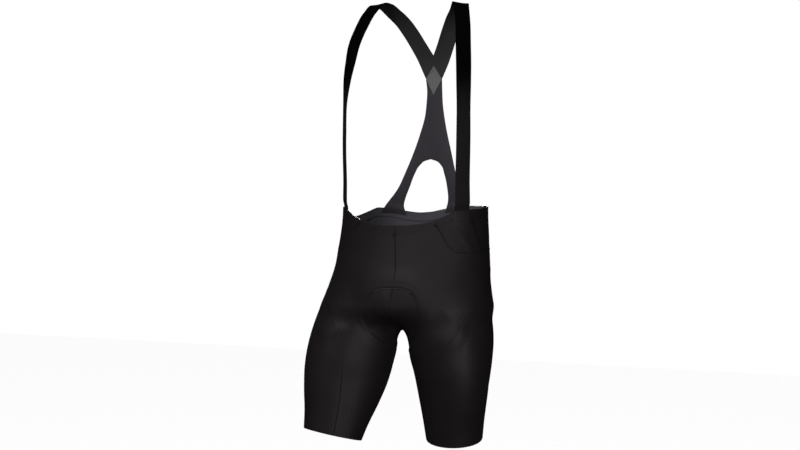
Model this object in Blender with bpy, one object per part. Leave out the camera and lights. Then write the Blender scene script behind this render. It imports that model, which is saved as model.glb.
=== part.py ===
"""Long bib shorts in the shape in which they are worn, with nobody in them.

The cloth lies on one smooth form, a trunk and two legs blended together. A place on it is given by its drop
below the waist and by its azimuth, measured from the front towards the outer side of its own half. Each panel
is the wall between its seams. Lengths are in millimetres until a mesh is made. The origin is midway between
the places where the straps lie on the shoulders.
"""

from collections import namedtuple

import bmesh
import bpy
import numpy as np

MM = 0.001

# Cloth walls and the spaces left between pieces.
BODY_WALL = 1.2
YOKE_WALL = 1.2
STRAP_WALL = 1.5
PAD_WALL = 4.0
PAD_EDGE_WALL = 2.0
PAD_CLEARANCE = 3.6
SEAM_GAP = 0.3

# The trunk, by drop below the level of the waist's sides.
WAIST_HEIGHT = -408.0
TrunkSection = namedtuple("TrunkSection", "drop half_width front back x y")
TRUNK = (
    TrunkSection(-30, 149.5, 108, 84, 0, -18),
    TrunkSection(20, 150.5, 109, 85, 0, -19),
    TrunkSection(60, 154, 111, 90, -1, -21),
    TrunkSection(95, 157.5, 113, 98, -2.7, -24),
    TrunkSection(130, 160, 115, 110, -3.7, -28),
    TrunkSection(165, 160.5, 116, 118, -4, -32),
    TrunkSection(210, 158, 115, 119, -4, -35),
    TrunkSection(260, 151, 110, 112, -7, -36),
)
TRUNK_SQUARENESS = 2.15
BOWL_TOP_DROP = 186.0
BOWL_DEPTH = 46.0
BOWL_SQUARENESS = 2.2

# The halves: each has its leg's axis and its strap's place. One set of leg sections serves both.
Leg = namedtuple("Leg", "name side hip hem turn strap_azimuth")
LEFT = Leg("left", 1.0, (83.8, -42, -640), (75.4, 1, -872), -14, 63.0)
RIGHT = Leg("right", -1.0, (-113.3, -50, -640), (-149.6, -94, -863.5), -14, 66.5)
LegSection = namedtuple("LegSection", "along major minor")
LEG_SECTIONS = (
    LegSection(-120, 36, 36),
    LegSection(-60, 61, 64),
    LegSection(-15, 79, 82),
    LegSection(25, 86, 84.5),
    LegSection(70, 89, 79),
    LegSection(110, 86.5, 71.5),
    LegSection(150, 78.5, 66),
    LegSection(198, 66, 60.3),
    LegSection(235, 59, 56.5),
)
MAJOR_AZIMUTH = 45.0
LEG_CAP = 60.0

# How softly the trunk and the legs run into each other.
HIP_BLEND = 46.0
CROTCH_BLEND = 20.0

# The highest drop that is read, and where the sections' centre leaves the trunk, reaches the leg and tilts.
TOP_DROP = -24.0
SPREAD_START_DROP = 90.0
CROTCH_DROP = 240.0
TILT_START_DROP = 150.0
TILT_END_DROP = 320.0
INSEAM_SETTLE = 70.0
END_ROUNDS = 6

# How many degrees at each section's ends are spanned from the end point: few high up, most at the crotch.
SPAN_START_DROP = 170.0
SPAN_DEGREES = 46.0
SPAN_FEWEST = 4.0
SPAN_END_DROP = 325.0

# The rise curve: down the front, round the pivot and up the back, and how far sideways it lies.
RISE_PIVOT_DROP = 150.0
CROTCH_RISE_ANGLE = 96.0
RisePoint = namedtuple("RisePoint", "turn x")
RISE_SIDE = (
    RisePoint(-90, -1),
    RisePoint(-48, 3.5),
    RisePoint(-12, 6.5),
    RisePoint(4, 3),
    RisePoint(20, -3),
    RisePoint(50, -8),
    RisePoint(96, -15),
    RisePoint(140, -12),
    RisePoint(180, -9),
    RisePoint(270, 0),
)

# The upper edge, by azimuth: the drop of each half's edge.
EdgePoint = namedtuple("EdgePoint", "azimuth left_drop right_drop")
UPPER_EDGE = (
    EdgePoint(0, 29, 29),
    EdgePoint(12, 28.5, 29),
    EdgePoint(24, 26, 28),
    EdgePoint(36, 22, 24),
    EdgePoint(48, 11.5, 15),
    EdgePoint(58, 1, 5),
    EdgePoint(64, 0, 0),
    EdgePoint(72, -1, 0),
    EdgePoint(82, -1.5, 6),
    EdgePoint(92, -5.5, 21),
    EdgePoint(102, -5, 22),
    EdgePoint(114, -2, 8),
    EdgePoint(128, -1, 7),
    EdgePoint(145, 2.5, 12.5),
    EdgePoint(162, 7.5, 15.5),
    EdgePoint(180, 13.5, 13.5),
)

# The lower edge of the stretch waist panel, from its front end on the upper edge to the centre back.
WaistPoint = namedtuple("WaistPoint", "azimuth drop")
WAIST_LOWER_EDGE = (
    WaistPoint(39, 20),
    WaistPoint(42, 33),
    WaistPoint(45.5, 45),
    WaistPoint(49, 61),
    WaistPoint(53, 74),
    WaistPoint(58, 81),
    WaistPoint(64, 83),
    WaistPoint(90, 81),
    WaistPoint(118, 80),
    WaistPoint(180, 84),
)
WAIST_TIP_AZIMUTH = 40.0

# The seam between front and back panel, by drop.
SeamPoint = namedtuple("SeamPoint", "drop left_azimuth right_azimuth")
LEG_SEAM = (
    SeamPoint(84, 118, 118),
    SeamPoint(130, 100, 100),
    SeamPoint(170, 78, 70),
    SeamPoint(200, 53.5, 34),
    SeamPoint(230, 31.5, 8),
    SeamPoint(270, 6, -6),
    SeamPoint(310, -7, -14),
    SeamPoint(380, -18, -22),
    SeamPoint(470, -27, -27),
)

# Rows and columns of the faceted panels.
PANEL_START_DROP = 128.0
EVEN_START_DROP = 100.0
EVEN_END_DROP = 215.0
PANEL_TOP_ROWS = 4
PANEL_RISE_ROWS = 8
PANEL_LEG_ROWS = 12
FRONT_AZIMUTHS = (0, 6, 15, 27, 39.2, 40, 43, 46.5, 51, 57, 67, 82, 100, 118)
BACK_AZIMUTHS = tuple(np.linspace(FRONT_AZIMUTHS[-1], 180, 16))
WAIST_ROWS = 5

# The straps: their centre line on the wearer's left, and how their width is turned in plan.
StrapPoint = namedtuple("StrapPoint", "x y z turn dip width")
STRAP_LINE = (
    StrapPoint(125.5, -79, -408, 53, 0, 32),
    StrapPoint(126.3, -81, -340, 54, 0, 32),
    StrapPoint(127.0, -82, -265, 54, 0, 32),
    StrapPoint(127.0, -81.5, -195, 51, 0, 31),
    StrapPoint(124.2, -76, -152, 36, 0, 30),
    StrapPoint(120.8, -68, -120, 25, 0, 30),
    StrapPoint(117.0, -60, -88, 16, 2, 30),
    StrapPoint(109.0, -41.5, -50, 9, 5, 30),
    StrapPoint(98.6, -21, -18.5, 3, 8, 30),
    StrapPoint(89.3, -3, -3.0, 0, 9.5, 31.5),
    StrapPoint(79.8, 16, -6.4, 0, 8, 33),
    StrapPoint(69.2, 33, -20, 0, 5, 34.5),
    StrapPoint(55.0, 47, -37.5, 0, 0, 35),
    StrapPoint(42.0, 58.5, -59.5, 0, 0, 35),
    StrapPoint(25.8, 71, -92, 0, 0, 35),
    StrapPoint(15.6, 76.5, -113, 0, 0, 36),
    StrapPoint(2.0, 78, -141, 0, 0, 37),
    StrapPoint(-14.0, 78, -171, 0, 0, 37),
)
STRAP_TOP_INDEX = 9
STRAP_FOOT_REACH = 260.0
UPPER_EDGE_GAP = 0.6
STRAP_COLUMNS = 2
STRAP_ROWS = 38

# The diamond patch and the yoke under it.
PATCH_TOP = -125.0
PATCH_MIDDLE = -152.0
PATCH_BOTTOM = -184.0
PATCH_HALF_WIDTH = 17.5
PATCH_STEPS = 3
BACK_TOP_Y = 78.0
YokeRow = namedtuple("YokeRow", "z left right")
YOKE_OUTLINE = (
    YokeRow(-422, 85, -102.5),
    YokeRow(-410, 78, -95.5),
    YokeRow(-399, 72, -88),
    YokeRow(-380, 64, -75),
    YokeRow(-339, 51.3, -56.3),
    YokeRow(-299, 41, -40.2),
    YokeRow(-265, 32, -28.5),
    YokeRow(-227, 24, -18),
    YokeRow(-204, 20.5, -15.5),
    YokeRow(-175, 18.5, -14.5),
    YokeRow(-152, 17.5, -17.5),
)
KEYHOLE = (
    YokeRow(-426, 29, -54),
    YokeRow(-411, 34.5, -59),
    YokeRow(-396, 36.5, -56.5),
    YokeRow(-371, 33.5, -47.7),
    YokeRow(-345, 26.8, -38),
    YokeRow(-326, 18, -26),
    YokeRow(-318.5, 8, -16),
    YokeRow(-315, -4, -4),
)
YOKE_HALF_COLUMNS = 4
YOKE_STEM_LEVELS = (-190, -206, -224, -242, -260, -278, -297)
KEYHOLE_LEVELS = (-316, -318.5, -323, -330, -342, -358, -376, -392)
YOKE_FOOT_ROWS = 3
V_ROUNDS = 6
WAIST_BACK_AZIMUTHS = np.linspace(100, 180, 81)

# The pad, across the rise curve from front to back: distance along that curve from the crotch point.
PadRow = namedtuple("PadRow", "along half_width")
PAD_OUTLINE = (
    PadRow(-187, 20),
    PadRow(-184, 30),
    PadRow(-178, 41),
    PadRow(-168, 50),
    PadRow(-152, 57),
    PadRow(-130, 61),
    PadRow(-110, 61),
    PadRow(-88, 55),
    PadRow(-66, 48),
    PadRow(-40, 43),
    PadRow(-5, 45),
    PadRow(40, 56),
    PadRow(80, 68),
    PadRow(112, 71),
    PadRow(136, 59),
    PadRow(149, 38),
    PadRow(154, 10),
)
PAD_ROWS = 22
PAD_STEPS = 24
PAD_COLUMNS = (0, 5, 10, 15, 20, 24)
PAD_END_SHARE = 0.7

# Cloth colours.
BODY_COLOUR = (0.022, 0.019, 0.021, 1)
WAIST_COLOUR = (0.028, 0.025, 0.027, 1)
YOKE_COLOUR = (0.035, 0.031, 0.036, 1)
STRAP_COLOUR = (0.012, 0.012, 0.012, 1)
PATCH_COLOUR = (0.12, 0.118, 0.118, 1)
PAD_COLOUR = (0.05, 0.05, 0.055, 1)
CLOTH_ROUGHNESS = 0.75


def along(table, at):
    """A smooth curve through the rows of a table, by its first column, read at the given places."""
    rows = np.array(table, float)
    keys = rows[:, 0]
    values = rows[:, 1:]
    at = np.clip(np.asarray(at, float), keys[0], keys[-1])
    slopes = np.gradient(values, keys, axis=0)
    index = np.clip(np.searchsorted(keys, at, side="right") - 1, 0, len(keys) - 2)
    span = keys[index + 1] - keys[index]
    t = ((at - keys[index]) / span)[..., None]
    span = span[..., None]
    rise = t * t * (3 - 2 * t)
    start = t * (1 - t) ** 2 * span * slopes[index]
    end = t * t * (t - 1) * span * slopes[index + 1]
    return (1 - rise) * values[index] + rise * values[index + 1] + start + end


def smooth(value, start, end):
    """0 before start and 1 past end, with a soft change between them."""
    t = np.clip((np.asarray(value, float) - start) / (end - start), 0, 1)
    return t * t * (3 - 2 * t)


def unit(vectors):
    return vectors / np.linalg.norm(vectors, axis=-1, keepdims=True)


def radial_gap(offset, ratio):
    """How far outside a section a point lies, from its offset and its ratio to the section's radius."""
    return np.linalg.norm(offset, axis=-1) * (1 - 1 / np.maximum(ratio, 1e-3))


def trunk_gap(points):
    drop = WAIST_HEIGHT - points[..., 2]
    section = along(TRUNK, drop)
    half_width, front, back, x, y = np.moveaxis(section, -1, 0)
    across = points[..., 0] - x
    deep = points[..., 1] - y
    depth = np.where(deep < 0, front, back)
    below = np.maximum(drop - BOWL_TOP_DROP, 0)
    ratio = np.abs(across / half_width) ** TRUNK_SQUARENESS + np.abs(deep / depth) ** TRUNK_SQUARENESS
    ratio = ratio ** (BOWL_SQUARENESS / TRUNK_SQUARENESS) + (below / BOWL_DEPTH) ** BOWL_SQUARENESS
    return radial_gap(np.stack([across, deep, below], axis=-1), ratio ** (1 / BOWL_SQUARENESS))


def leg_frame(leg):
    """The leg's axis downwards, its outer side and its front, as unit vectors."""
    axis = unit(np.subtract(leg.hem, leg.hip).astype(float))
    outer = np.array([leg.side, 0, 0])
    outer = unit(outer - axis * outer.dot(axis))
    front = np.cross(axis, outer) * leg.side
    return axis, outer, front


def leg_gap(points, leg):
    axis, outer, front = leg_frame(leg)
    offset = points - np.array(leg.hip, float)
    distance = offset @ axis
    major, minor = np.moveaxis(along(LEG_SECTIONS, distance), -1, 0)
    angle = np.radians(MAJOR_AZIMUTH)
    long = offset @ front * np.cos(angle) + offset @ outer * np.sin(angle)
    short = offset @ outer * np.cos(angle) - offset @ front * np.sin(angle)
    above = np.maximum(-LEG_CAP - distance, 0)
    ratio = np.sqrt((long / major) ** 2 + (short / minor) ** 2 + (above / LEG_CAP) ** 2)
    return radial_gap(np.stack([long, short, above], axis=-1), ratio)


def blended(first, second, reach):
    """The union of two gaps, with a soft fillet between them."""
    near = np.maximum(reach - np.abs(first - second), 0) / reach
    return np.minimum(first, second) - near * near * reach / 4


def form_gap(points):
    legs = blended(leg_gap(points, LEFT), leg_gap(points, RIGHT), CROTCH_BLEND)
    return blended(trunk_gap(points), legs, HIP_BLEND)


def form_normal(points, step=0.5):
    steps = step * np.eye(3)
    slope = [form_gap(points + s) - form_gap(points - s) for s in steps]
    return unit(np.stack(slope, axis=-1))


def reach_form(origins, directions, farthest=320.0, step=6.0, halvings=18):
    """The first points where rays that start inside the form leave it."""
    near = np.zeros(origins.shape[:-1])
    inside = np.ones(near.shape, bool)
    for distance in np.arange(step, farthest, step):
        gap = form_gap(origins + directions * distance)
        inside &= gap < 0
        near = np.where(inside, distance, near)
    far = near + step
    for _ in range(halvings):
        middle = (near + far) / 2
        out = form_gap(origins + directions * middle[..., None]) > 0
        far = np.where(out, middle, far)
        near = np.where(out, near, middle)
    return origins + directions * near[..., None]


def settle(points, rounds=3):
    """Moves points that lie near the form onto it."""
    for _ in range(rounds):
        points = points - form_gap(points)[..., None] * form_normal(points)
    return points


def relax(points, rounds=24):
    """Evens out a grid of points on the form, with its border kept."""
    points = points.copy()
    for _ in range(rounds):
        middle = points[:-2, 1:-1] + points[2:, 1:-1] + points[1:-1, :-2] + points[1:-1, 2:]
        points[1:-1, 1:-1] = settle(middle / 4, 2)
    return points


def rise_curve(step=4.0):
    """The curve from centre front to centre back, its lengths from the crotch and its places at the waist."""
    drops = np.arange(TOP_DROP, RISE_PIVOT_DROP, step)
    *_, middle_y = np.moveaxis(along(TRUNK, drops), -1, 0)
    forward = np.tile([0.0, -1.0, 0.0], (len(drops), 1))
    above = 90 * (1 - drops / RISE_PIVOT_DROP)
    front_x, back_x = along(RISE_SIDE, -above)[:, 0], along(RISE_SIDE, 180 + above)[:, 0]
    front = reach_form(np.stack([front_x, middle_y, WAIST_HEIGHT - drops], axis=1), forward)
    back = reach_form(np.stack([back_x, middle_y, WAIST_HEIGHT - drops], axis=1), -forward)
    *_, pivot_y = along(TRUNK, RISE_PIVOT_DROP)
    degrees = np.arange(0, 180.1, 2)
    turns = np.radians(degrees)
    down = np.stack([0 * turns, -np.cos(turns), -np.sin(turns)], axis=1)
    pivot = np.tile([0, pivot_y, WAIST_HEIGHT - RISE_PIVOT_DROP], (len(turns), 1))
    pivot[:, 0] = along(RISE_SIDE, degrees)[:, 0]
    under = reach_form(pivot, down)
    curve = np.concatenate([front, under, back[::-1]])
    lengths = np.concatenate([[0], np.cumsum(np.linalg.norm(np.diff(curve, axis=0), axis=1))])
    crotch = len(front) + np.searchsorted(turns, np.radians(CROTCH_RISE_ANGLE))
    lengths -= lengths[crotch]
    waist = np.searchsorted(drops, 0)
    return curve, lengths, lengths[[waist, -1 - waist]]


RISE, RISE_LENGTHS, RISE_WAIST = rise_curve()


def on_rise(distance):
    """Points of the rise curve, by distance from the crotch point, negative towards the front."""
    return np.stack([np.interp(distance, RISE_LENGTHS, RISE[:, k]) for k in range(3)], axis=-1)


class Half:
    """One half of the body, left or right, read by drop and azimuth."""

    def __init__(self, leg, step=2.0):
        self.leg = leg
        self.hem_drop = WAIST_HEIGHT - leg.hem[2]
        self.drops = np.arange(TOP_DROP, self.hem_drop + step, step)
        axis, outer, front = leg_frame(leg)
        *_, x, y = np.moveaxis(along(TRUNK, self.drops), -1, 0)
        centre = np.stack([x, y, WAIST_HEIGHT - self.drops], axis=1)
        hip_drop = WAIST_HEIGHT - leg.hip[2]
        share = (self.drops - hip_drop) / (self.hem_drop - hip_drop)
        on_leg = np.array(leg.hip) + share[:, None] * np.subtract(leg.hem, leg.hip)
        spread = smooth(self.drops, SPREAD_START_DROP, CROTCH_DROP)[:, None]
        self.origins = centre * (1 - spread) + on_leg * spread
        tilt = smooth(self.drops, TILT_START_DROP, TILT_END_DROP)[:, None]
        self.axes = unit(np.array([0, 0, -1.0]) * (1 - tilt) + axis * tilt)
        outward = np.array([leg.side, 0, 0]) * (1 - tilt) + outer * tilt
        sideways = np.sum(outward * self.axes, axis=1, keepdims=True)
        self.outers = unit(outward - self.axes * sideways)
        self.fronts = np.cross(self.axes, self.outers) * leg.side
        self.set_ends()

    def set_ends(self):
        """The azimuth, dip and place of each section's two ends, on the rise curve or, lower, the inseam."""
        waist_front, waist_back = RISE_WAIST
        share = np.minimum(self.drops / CROTCH_DROP, 1)
        front_place = waist_front + share * CROTCH_DROP
        front_place += (-waist_front - CROTCH_DROP) * np.abs(share) ** 3
        back_place = waist_back - share * CROTCH_DROP
        back_place -= (waist_back - CROTCH_DROP) * np.abs(share) ** 3
        crotch = np.searchsorted(self.drops, CROTCH_DROP)
        under = self.drops >= CROTCH_DROP
        fade = 1 - smooth(self.drops, CROTCH_DROP, SPAN_END_DROP)
        inseam = self.inseam()
        self.ends = []
        for place, low in ((front_place, -180.0), (back_place, 90.0)):
            point = np.where(under[:, None], inseam, on_rise(place))
            ray = point - self.origins
            azimuth = np.degrees(np.arctan2(np.sum(ray * self.outers, 1), np.sum(ray * self.fronts, 1)))
            dip = np.sum(ray * self.axes, 1) / np.linalg.norm(ray, axis=1)
            dip = np.where(under, dip[crotch] * fade, dip)
            self.ends.append((low + np.mod(azimuth - low, 360), dip, point))

    def inseam(self):
        """Points down the inner side of the leg from the crotch point, one for each drop."""
        angle = np.radians(self.leg.turn - 90)
        inner = reach_form(self.origins, np.cos(angle) * self.fronts + np.sin(angle) * self.outers)
        share = np.clip((self.drops - CROTCH_DROP) / INSEAM_SETTLE, 0, 1)[:, None]
        settled = inner[np.searchsorted(self.drops, CROTCH_DROP + INSEAM_SETTLE)]
        near = settle(on_rise(0.0) * (1 - share) + settled * share, END_ROUNDS)
        return np.where(share < 1, near, inner)

    def read(self, values, drop):
        """Values kept by drop, read at the given drops."""
        if values.ndim == 1:
            return np.interp(drop, self.drops, values)
        return np.stack([np.interp(drop, self.drops, values[:, k]) for k in range(3)], axis=-1)

    def centre_front(self, drop):
        return self.read(self.ends[0][0], drop)

    def centre_back(self, drop):
        return self.read(self.ends[1][0], drop)

    def cast(self, drop, azimuth):
        """Where the ray of this drop and azimuth leaves the form; it dips towards the ends of the section."""
        front, back = self.centre_front(drop), self.centre_back(drop)
        share = (azimuth - front) / (back - front)
        dip = self.read(self.ends[0][1], drop) * np.maximum(1 - 2 * share, 0) ** 2
        dip = (dip + self.read(self.ends[1][1], drop) * np.maximum(2 * share - 1, 0) ** 2)[..., None]
        angle = np.radians(azimuth)[..., None]
        level = np.cos(angle) * self.read(self.fronts, drop) + np.sin(angle) * self.read(self.outers, drop)
        ray = level * np.sqrt(1 - dip * dip) + self.read(self.axes, drop) * dip
        return reach_form(self.read(self.origins, drop), ray)

    def point(self, drop, azimuth):
        """The place on the form with this drop and azimuth, spanned straight near the ends of a section."""
        drop, azimuth = np.broadcast_arrays(np.asarray(drop, float), np.asarray(azimuth, float))
        front, back = self.centre_front(drop), self.centre_back(drop)
        span = smooth(drop, SPAN_START_DROP, CROTCH_DROP) * (1 - smooth(drop, CROTCH_DROP, SPAN_END_DROP))
        span = SPAN_FEWEST + SPAN_DEGREES * span
        place = self.cast(drop, np.clip(azimuth, front + span, back - span))
        for end, share in zip(self.ends, ((front + span - azimuth) / span, (azimuth - back + span) / span)):
            share = np.clip(share, 0, 1)[..., None]
            place = place * (1 - share) + self.read(end[2], drop) * share
        return settle(place)

    def side_of(self, table, at):
        """The column of a two-sided table that belongs to this half."""
        return along(table, at)[..., 0 if self.leg is LEFT else 1]

    def upper_edge(self, azimuth):
        return self.side_of(UPPER_EDGE, azimuth)

    def leg_seam(self, drop):
        return self.side_of(LEG_SEAM, drop)

    def degrees(self, drop, azimuth, length):
        """How many degrees of azimuth make this length on the form."""
        nearby = self.point(drop, azimuth + 1) - self.point(drop, azimuth)
        return length / np.linalg.norm(nearby, axis=-1)


HALVES = {leg.name: Half(leg) for leg in (LEFT, RIGHT)}


def cloth(name, colour):
    material = bpy.data.materials.new(name)
    material.use_nodes = True
    shader = material.node_tree.nodes["Principled BSDF"]
    shader.inputs["Base Color"].default_value = colour
    shader.inputs["Roughness"].default_value = CLOTH_ROUGHNESS
    return material


def wall(name, colour, points, faces, normals, thickness, cuts=()):
    """A cloth wall: the outer faces, cut by planes behind the shoulders, then extruded inwards."""
    mesh = bmesh.new()
    inward = mesh.verts.layers.float_vector.new("inward")
    thickness = np.broadcast_to(thickness, len(points))
    for point, normal, deep in zip(points, normals, thickness):
        vert = mesh.verts.new(point * MM)
        vert[inward] = -normal * deep * MM
    mesh.verts.ensure_lookup_table()
    for face in faces:
        mesh.faces.new([mesh.verts[k] for k in face])
    for place, away in cuts:
        behind = [face for face in mesh.faces if face.calc_center_median().y > 0]
        edges = {edge for face in behind for edge in face.edges}
        geometry = behind + list(edges) + list({vert for edge in edges for vert in edge.verts})
        bmesh.ops.bisect_plane(
            mesh, geom=geometry, plane_co=np.array(place) * MM, plane_no=away, clear_outer=True
        )
    made = bmesh.ops.extrude_face_region(mesh, geom=mesh.faces[:])
    for item in made["geom"]:
        if isinstance(item, bmesh.types.BMVert):
            item.co = item.co + item[inward]
    bmesh.ops.recalc_face_normals(mesh, faces=mesh.faces[:])
    mesh.verts.layers.float_vector.remove(inward)
    data = bpy.data.meshes.new(name)
    mesh.to_mesh(data)
    mesh.free()
    data.materials.append(cloth(name, colour))
    piece = bpy.data.objects.new(name, data)
    bpy.context.scene.collection.objects.link(piece)
    return piece


def grid_faces(rows, columns):
    """Quads of a grid of points that are numbered row by row."""
    first = (np.arange(rows - 1)[:, None] * columns + np.arange(columns - 1)).reshape(-1)
    return np.stack([first, first + 1, first + columns + 1, first + columns], axis=1).tolist()


def panel_drops(half, upper):
    """Drops of a panel's rows: from its upper edge to a common level, to the crotch, then to the hem."""
    share = np.linspace(0, 1, PANEL_TOP_ROWS + 1)[:-1, None]
    top = upper * (1 - share) + PANEL_START_DROP * share
    rise = np.linspace(PANEL_START_DROP, CROTCH_DROP, PANEL_RISE_ROWS + 1)[:-1]
    leg = np.linspace(CROTCH_DROP, half.hem_drop, PANEL_LEG_ROWS + 1)
    rest = np.concatenate([rise, leg])[:, None]
    return np.concatenate([top, np.broadcast_to(rest, (len(rest), upper.size))])


def column_shares(columns, drops):
    """Where the columns lie across a panel: as listed at the top, even further down."""
    listed = (np.array(columns, float) - columns[0]) / (columns[-1] - columns[0])
    even = smooth(drops, EVEN_START_DROP, EVEN_END_DROP)
    return listed * (1 - even) + np.linspace(0, 1, len(columns)) * even


def waist_lower_edge(azimuth):
    return along(WAIST_LOWER_EDGE, azimuth)[..., 0]


def seam_offset(azimuth):
    """How much lower or higher a drop must be for half a seam gap across the waist panel's slanted edge."""
    degree = np.radians(TRUNK[1].half_width)
    slope = (waist_lower_edge(azimuth + 0.5) - waist_lower_edge(azimuth - 0.5)) / degree
    return SEAM_GAP / 2 * np.sqrt(1 + slope**2)


def front_top_azimuths(half):
    """Azimuths of the front panel's columns where it meets the waist panel."""
    columns = np.array(FRONT_AZIMUTHS, float)
    middle = half.centre_front(half.upper_edge(0.0))
    ends = np.array([middle, columns[-1]])
    inset = half.degrees(half.upper_edge(0.0), ends + [0, -1], SEAM_GAP / 2)
    near = 1 - smooth(columns, 0, WAIST_TIP_AZIMUTH)
    columns = columns + (middle + inset[0]) * near
    columns[-1] -= inset[1]
    return columns


def front_panel(half):
    top = front_top_azimuths(half)
    joined = waist_lower_edge(top) + seam_offset(top)
    upper = np.where(top < WAIST_TIP_AZIMUTH - 0.5, half.upper_edge(top), joined)
    drops = panel_drops(half, upper)
    start = half.centre_front(drops)
    end = half.leg_seam(drops)
    start = start + half.degrees(drops, start, SEAM_GAP / 2)
    end = end - half.degrees(drops, end - 1, SEAM_GAP / 2)
    shares = column_shares(FRONT_AZIMUTHS, drops)
    azimuths = start * (1 - shares) + end * shares
    near_top = 1 - smooth(drops, upper, PANEL_START_DROP)
    points = relax(half.point(drops, azimuths + (top - azimuths[0]) * near_top))
    body_piece(f"front_{half.leg.name}", points, BODY_COLOUR)


def back_panel(half):
    drops = panel_drops(half, waist_lower_edge(np.array(BACK_AZIMUTHS, float)) + SEAM_GAP / 2)
    start = half.leg_seam(drops)
    end = half.centre_back(drops)
    start = start + half.degrees(drops, start, SEAM_GAP / 2)
    end = end - half.degrees(drops, end - 1, SEAM_GAP / 2)
    shares = column_shares(BACK_AZIMUTHS, drops)
    points = relax(half.point(drops, start * (1 - shares) + end * shares))
    body_piece(f"back_{half.leg.name}", points, BODY_COLOUR)


def body_piece(name, points, colour):
    rows, columns = points.shape[:2]
    flat = points.reshape(-1, 3)
    wall(name, colour, flat, grid_faces(rows, columns), form_normal(flat), BODY_WALL)


def waist_panel():
    """One piece round the back, from its front end on the right to its front end on the left."""
    share = np.linspace(0, 1, WAIST_ROWS + 1)[:, None]
    sides = []
    for half in HALVES.values():
        front = front_top_azimuths(half)
        front = front[front > WAIST_TIP_AZIMUTH - 0.5]
        azimuths = np.concatenate([front[:-1], BACK_AZIMUTHS])
        upper = half.upper_edge(azimuths)
        lower = waist_lower_edge(azimuths) - seam_offset(azimuths)
        sides.append(half.point(upper * (1 - share) + lower * share, azimuths))
    left, right = sides
    points = np.concatenate([left, right[:, -2::-1]], axis=1)
    body_piece("waist_back", points, WAIST_COLOUR)


def back_profile(z):
    """Where the straps and the patch lie front to back, by height."""
    line = np.array(STRAP_LINE[STRAP_TOP_INDEX:])
    return np.interp(z, line[::-1, 2], line[::-1, 1])


def back_depth(x, z):
    """Where the yoke lies front to back: taut between the waist's back and the patch."""
    section = np.moveaxis(along(TRUNK, WAIST_HEIGHT - z), -1, 0)
    half_width, _, back, middle_x, middle_y = section
    inside = 1 - np.abs((x - middle_x) / half_width) ** TRUNK_SQUARENESS
    waist = middle_y + back * np.maximum(inside, 0) ** (1 / TRUNK_SQUARENESS)
    share = np.clip((z - WAIST_HEIGHT) / (PATCH_MIDDLE - WAIST_HEIGHT), 0, 1)
    return np.where(z < PATCH_MIDDLE, waist * (1 - share) + BACK_TOP_Y * share, back_profile(z))


def back_points(x, z):
    """Points of the back surface and its normals there."""
    x, z = np.broadcast_arrays(np.asarray(x, float), np.asarray(z, float))
    step = 0.5
    across = (back_depth(x + step, z) - back_depth(x - step, z)) / (2 * step)
    up = (back_depth(x, z + step) - back_depth(x, z - step)) / (2 * step)
    normals = unit(np.stack([-across, np.ones_like(across), -up], axis=-1))
    return np.stack([x, back_depth(x, z), z], axis=-1), normals


def waist_edge_height(x):
    """The height of the waist panel's back edge, by sideways place."""
    heights = np.zeros_like(x)
    for half in HALVES.values():
        edge = half.point(half.upper_edge(WAIST_BACK_AZIMUTHS), WAIST_BACK_AZIMUTHS)
        order = np.argsort(edge[:, 0])
        height = np.interp(x, edge[order, 0], edge[order, 2])
        heights = np.where(x * half.leg.side >= 0, height, heights)
    return heights


def stem_place(columns, z):
    """Where the columns of the yoke's stem lie sideways, from the patch to the keyhole's top."""
    left, right = np.moveaxis(along(YOKE_OUTLINE, z), -1, 0)
    middle = KEYHOLE[-1].left * (1 - smooth(z, YOKE_STEM_LEVELS[-1], YOKE_STEM_LEVELS[0]))
    return middle + np.where(columns > 0, left - middle, middle - right) * columns


def yoke():
    """An A-shaped piece: a stem with a V cut for the patch, over two legs round the keyhole."""
    columns = np.linspace(-1, 1, 2 * YOKE_HALF_COLUMNS + 1)
    cut = np.full(columns.shape, PATCH_MIDDLE)
    for _ in range(V_ROUNDS):
        x = stem_place(columns, cut)
        cut = PATCH_MIDDLE - (1 - np.abs(x) / PATCH_HALF_WIDTH) * (PATCH_MIDDLE - PATCH_BOTTOM) - SEAM_GAP
    stem = [cut, (cut + YOKE_STEM_LEVELS[0]) / 2]
    stem += [np.full(columns.shape, z) for z in YOKE_STEM_LEVELS + (KEYHOLE[-1].z,)]
    xs, zs, faces = [], [], []

    def add_row(x, z):
        start = len(xs)
        xs.extend(x)
        zs.extend(z)
        return list(range(start, start + len(x)))

    def join(upper, lower):
        for pair in zip(upper, upper[1:], lower[1:], lower):
            faces.append(list(pair))

    row = None
    for z in stem:
        previous, row = row, add_row(stem_place(columns, z), z)
        if previous:
            join(previous, row)
    shares = np.abs(columns[YOKE_HALF_COLUMNS:])
    for side, apex_row in ((0, row[YOKE_HALF_COLUMNS:]), (1, row[YOKE_HALF_COLUMNS::-1])):
        previous = apex_row
        levels = [np.full(shares.shape, z) for z in KEYHOLE_LEVELS]
        for foot_share in np.linspace(0, 1, YOKE_FOOT_ROWS + 1)[1:]:
            inner, outer = along(KEYHOLE, KEYHOLE[1].z)[side], along(YOKE_OUTLINE, YOKE_OUTLINE[1].z)[side]
            foot = waist_edge_height(inner * (1 - shares) + outer * shares) + UPPER_EDGE_GAP
            levels.append(KEYHOLE_LEVELS[-1] * (1 - foot_share) + foot * foot_share)
        for z in levels:
            inner = along(KEYHOLE, z)[..., side]
            outer = along(YOKE_OUTLINE, z)[..., side]
            current = add_row(inner * (1 - shares) + outer * shares, z)
            join(previous, current)
            previous = current
    points, normals = back_points(np.array(xs), np.array(zs))
    wall("yoke", YOKE_COLOUR, points, faces, normals, YOKE_WALL)


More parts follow.
